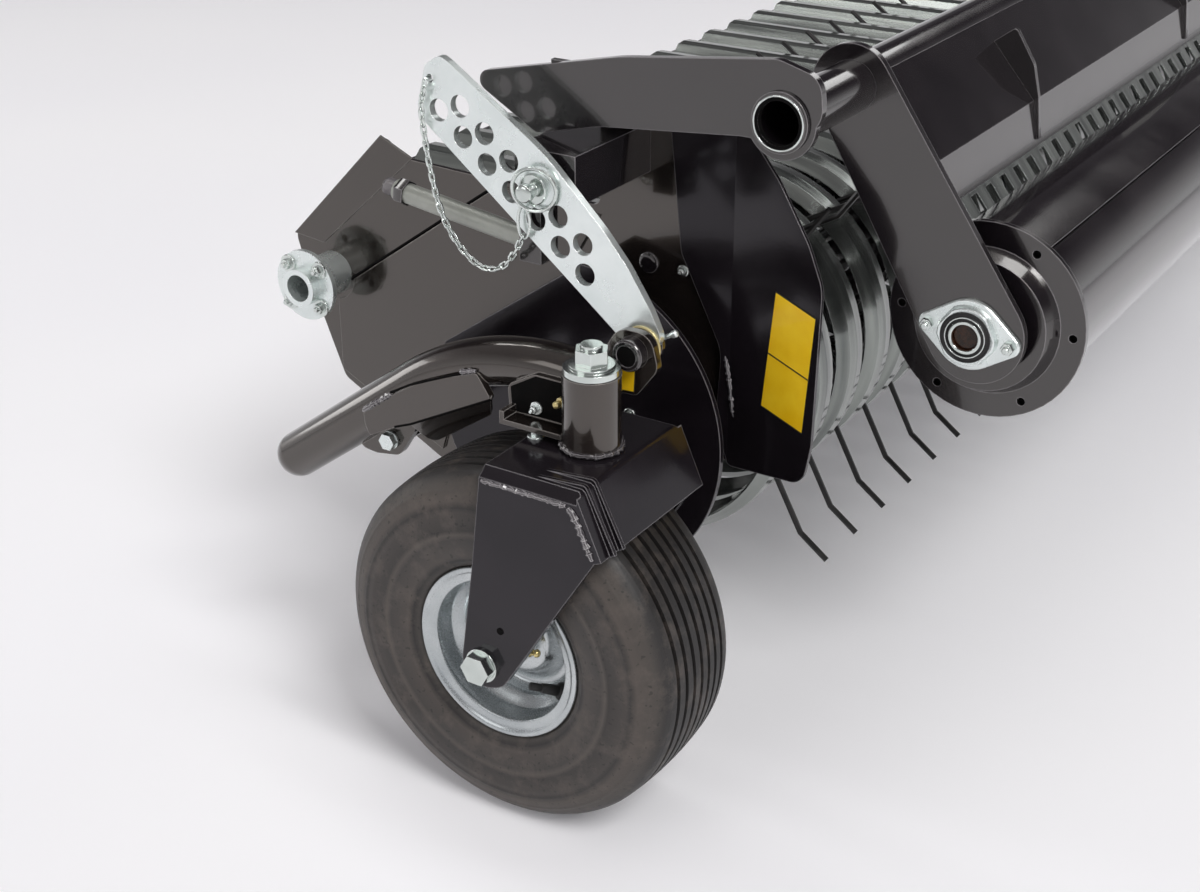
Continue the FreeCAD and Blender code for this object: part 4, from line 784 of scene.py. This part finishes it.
# ---------------------------------------------------------------- carried-over nodes
def dress_nodes():
    """Give each node the finish of its slot, or its own."""
    slots = {row["node"]: row["material_slot"] for row in frame["record"]["subparts"]}
    usual = {"black_paint": BLACK, "band_steel": BANDS, "spring_steel": SPRING, "zinc_plate": ZINC,
             "silver_paint": SILVER, "rubber": RUBBER}
    own = {"side_plate": WARM, "carrier_arm": WARM, "fork": LEAN, "side_guard": LEAN, "end_disc": LEAN,
           "tie_rods": ZINC_DULL, "kingpin": ZINC_BRIGHT, "axle_bolt": ZINC_BRIGHT}
    for name, node in frame["nodes"].items():
        chosen = next((own[key] for key in own if name.startswith(key)), usual[slots[name]])
        if not node.material_slots:
            node.data.materials.append(chosen)
        for held in node.material_slots:
            held.material = chosen


# ---------------------------------------------------------------- studio
FLOOR_HALF = 14                     # the floor reaches this far each way
FLOOR_GAP = 0.001                   # between the floor and the lowest point of the part
FLOOR_LIFT = 0.13                   # how far the floor is lit for the camera and for reflections
LAMPS = (                           # name, place, point that it faces, size and watts
    ("key", (9.3, -5.5, 10.8), (0.9, -0.9, 0.0), (5.6, 5.6), 1380),
    ("top_strip", (-0.8, -0.2, 4.2), (-0.8, -0.2, 0.0), (7.5, 0.45), 62),
    ("left_panel", (-5.0, -1.75, 1.0), (0.0, -1.1, 0.0), (1.8, 1.3), 20),
    ("front_fill", (-1.4, -5.6, 2.6), (0.3, -0.9, 0.0), (3.0, 1.6), 26),
    ("back_panel", (1.4, 5.6, 4.4), (0.4, -0.2, 0.0), (3.4, 1.5), 45))
# Tones of the room from straight below, 0, over the horizon, 0.5, to straight above, 1.
NEAR_ROOM = ((0.47, "#eaeaec"), (0.60, "#c4c3c6"), (0.75, "#8f8c8e"), (0.92, "#9c999a"), (1.0, "#a9a6a6"))
FAR_ROOM = ((0.50, "#dcdcde"), (0.57, "#a8a6a8"), (0.63, "#5c5a5d"), (0.68, "#322f33"), (1.0, "#252226"))


def soft_box(name, place, target, size, power):
    data = bpy.data.lights.new(name, "AREA")
    data.shape = "RECTANGLE"
    data.size, data.size_y = size
    data.energy = power
    lamp = bpy.data.objects.new(name, data)
    lamp.location = place
    lamp.rotation_euler = (Vector(target) - Vector(place)).to_track_quat("-Z", "Y").to_euler()
    bpy.context.scene.collection.objects.link(lamp)


def floor_paint():
    """Pale matt floor paint: faint 1.4 m clouds, a little brighter where it is seen or mirrored."""
    made, tree, shader, place = surface("floor_paint_matt", Roughness=0.85)
    cloud = add(tree, "ShaderNodeTexNoise", {"Scale": 0.7, "Detail": 2.0}, {"Vector": place})
    colour = add(tree, "ShaderNodeValToRGB", {"stops": [(0.3, "#ecebee"), (0.7, "#f1f0f1")]}, {"Fac": cloud})
    tree.links.new(colour, shader.inputs["Base Color"])
    ray = add(tree, "ShaderNodeLightPath").node.outputs
    seen = ray["Is Camera Ray"]
    for other in ("Is Glossy Ray", "Is Transmission Ray"):
        seen = add(tree, "ShaderNodeMath", {"operation": "MAXIMUM"}, {0: seen, 1: ray[other]})
    lift = add(tree, "ShaderNodeMath", {"operation": "MULTIPLY", 1: FLOOR_LIFT}, {0: seen})
    tree.links.new(lift, shader.inputs["Emission Strength"])
    shader.inputs["Emission Color"].default_value = srgb("#ecebf0")
    return made


def lay_floor():
    """Pale floor just under the part's lowest point."""
    shape = bmesh.new()
    bmesh.ops.create_grid(shape, x_segments=1, y_segments=1, size=FLOOR_HALF)
    mesh = bpy.data.meshes.new("floor")
    shape.to_mesh(mesh)
    shape.free()
    mesh.materials.append(floor_paint())
    floor = bpy.data.objects.new("floor", mesh)
    floor.location = (0, 0, cad_box[0][2] - FLOOR_GAP)
    bpy.context.scene.collection.objects.link(floor)


def light_room():
    """Large soft key high on the right, a strip overhead, weak panels left, in front and behind.

    The room is pale below the horizon.  Above it the near side is grey and the far side dark, so that the
    gloss has both to mirror.
    """
    for lamp in LAMPS:
        soft_box(*lamp)
    world = bpy.data.worlds.new("studio")
    world.use_nodes = True
    tree = world.node_tree
    way = add(tree, "ShaderNodeTexCoord", out="Generated")
    way = add(tree, "ShaderNodeSeparateXYZ", links={0: way}).node.outputs
    rise = add(tree, "ShaderNodeMapRange", {1: -1.0, 2: 1.0}, {0: way[2]})
    near = add(tree, "ShaderNodeValToRGB", {"stops": NEAR_ROOM}, {"Fac": rise})
    far = add(tree, "ShaderNodeValToRGB", {"stops": FAR_ROOM}, {"Fac": rise})
    turn = add(tree, "ShaderNodeMapRange", {1: 0.02, 2: 0.16}, {0: way[1]})
    sky = add(tree, "ShaderNodeMix", {"data_type": "RGBA"}, {0: turn, 6: near, 7: far}, out=2)
    tree.links.new(sky, tree.nodes["Background"].inputs["Color"])
    bpy.context.scene.world = world


set_camera()
# Sprayed black enamel: in full gloss; lean, with hardly a reflection and a violet painted reflection tint; and
# warm, with a brownish painted reflection tint and a browner base.
BLACK = enamel("enamel_black_sprayed", "#120f12", "#1e1a1d", "#918d90")
LEAN = enamel("enamel_black_lean", "#120f12", "#1e1a1e", "#8d8a8c", 0.05, painted_reflection_tint="#f6f2f9")
WARM = enamel("enamel_black_warm", "#141110", "#231e1c", "#918d8a", painted_reflection_tint="#ffefe0")
# Enamel on a weld bead, painted lighter grey with a bright edge tone as painted highlights where its ripples
# catch light.
BEAD_PAINTED_HIGHLIGHT = enamel("enamel_on_weld_painted_highlight", "#2a272a", "#565357", "#b4b0b3")
BANDS = band_enamel()
# Oil-hardened spring wire, black: satin, with 17 mm clouds, brighter where crop rubs it.
SPRING = clouded("spring_wire_oil_hardened", 60.0, 6.0, ("#0f0e0e", "#272423"), (0.3, 0.48), 0.1, 0.4, 0.75,
                 Metallic=0.35)
SILVER, RUBBER = rim_silver(), tyre_rubber()
# Zinc plate: clear, a pale bluish satin; weathered, a flat grey; bright, almost a mirror; yellow, like brass.
ZINC = zinc("zinc_plate_clear", "#dbe3e1", "#eef4f2", "#fafcfb")
ZINC_DULL = zinc("zinc_plate_weathered", "#8e9089", "#adafa8", "#c4c6bf", 0.55, 0.36)
ZINC_BRIGHT = zinc("zinc_plate_bright", "#c3cac6", "#dde3df", "#f4f7f5", 1.0, 0.12)
ZINC_YELLOW = zinc("zinc_plate_yellow", "#c9b675", "#ddcd95", "#efe6c0")
# Yellow self-adhesive vinyl, left blank: semi-gloss, faded and scuffed in 30 mm clouds.
YELLOW = clouded("vinyl_film_yellow", 34.0, 6.0, ("#f6c412", "#ffd424"), (0.32, 0.45), 0.03, 0.3,
                 Coat_Weight=0.2)
# Moulded black nitrile of seals, valve and film borders: soft sheen, 11 mm clouds.
NITRILE = clouded("nitrile_rubber_moulded", 90.0, 4.0, ("#161616", "#262525"), (0.4, 0.55), 0.08, 0.3)
# Painted shade in blind holes, open joints and over the tray's web: near-black, 7 mm clots, so dull that they
# look deep.
PAINTED_SHADE = clouded("painted_shade_dull", 140.0, 4.0, ("#050505", "#100e0e"), (0.8, 0.95), 0.2, 0.3,
                Specular_IOR_Level=0.1)
# Bored steel, rusted: the enamel's build without its gloss, in 4 mm red-brown specks.
RUSTY = enamel("steel_bore_rusted", "#0e0705", "#3c2317", "#3c2317", 0.0, 240.0)
dress_nodes()
for side, s in SIDES:
    for make in (gauge_wheel, keeper_chain, pull_pin, fork_trim, carrier_trim, bar_foot_trim, rod_end, plates,
                 frame_trim, bearing_trim, guard_trim):
        make(side, s)
flange_housings()
spring_tines()
lay_floor()
light_room()
bpy.context.scene.view_settings.view_transform = "Standard"
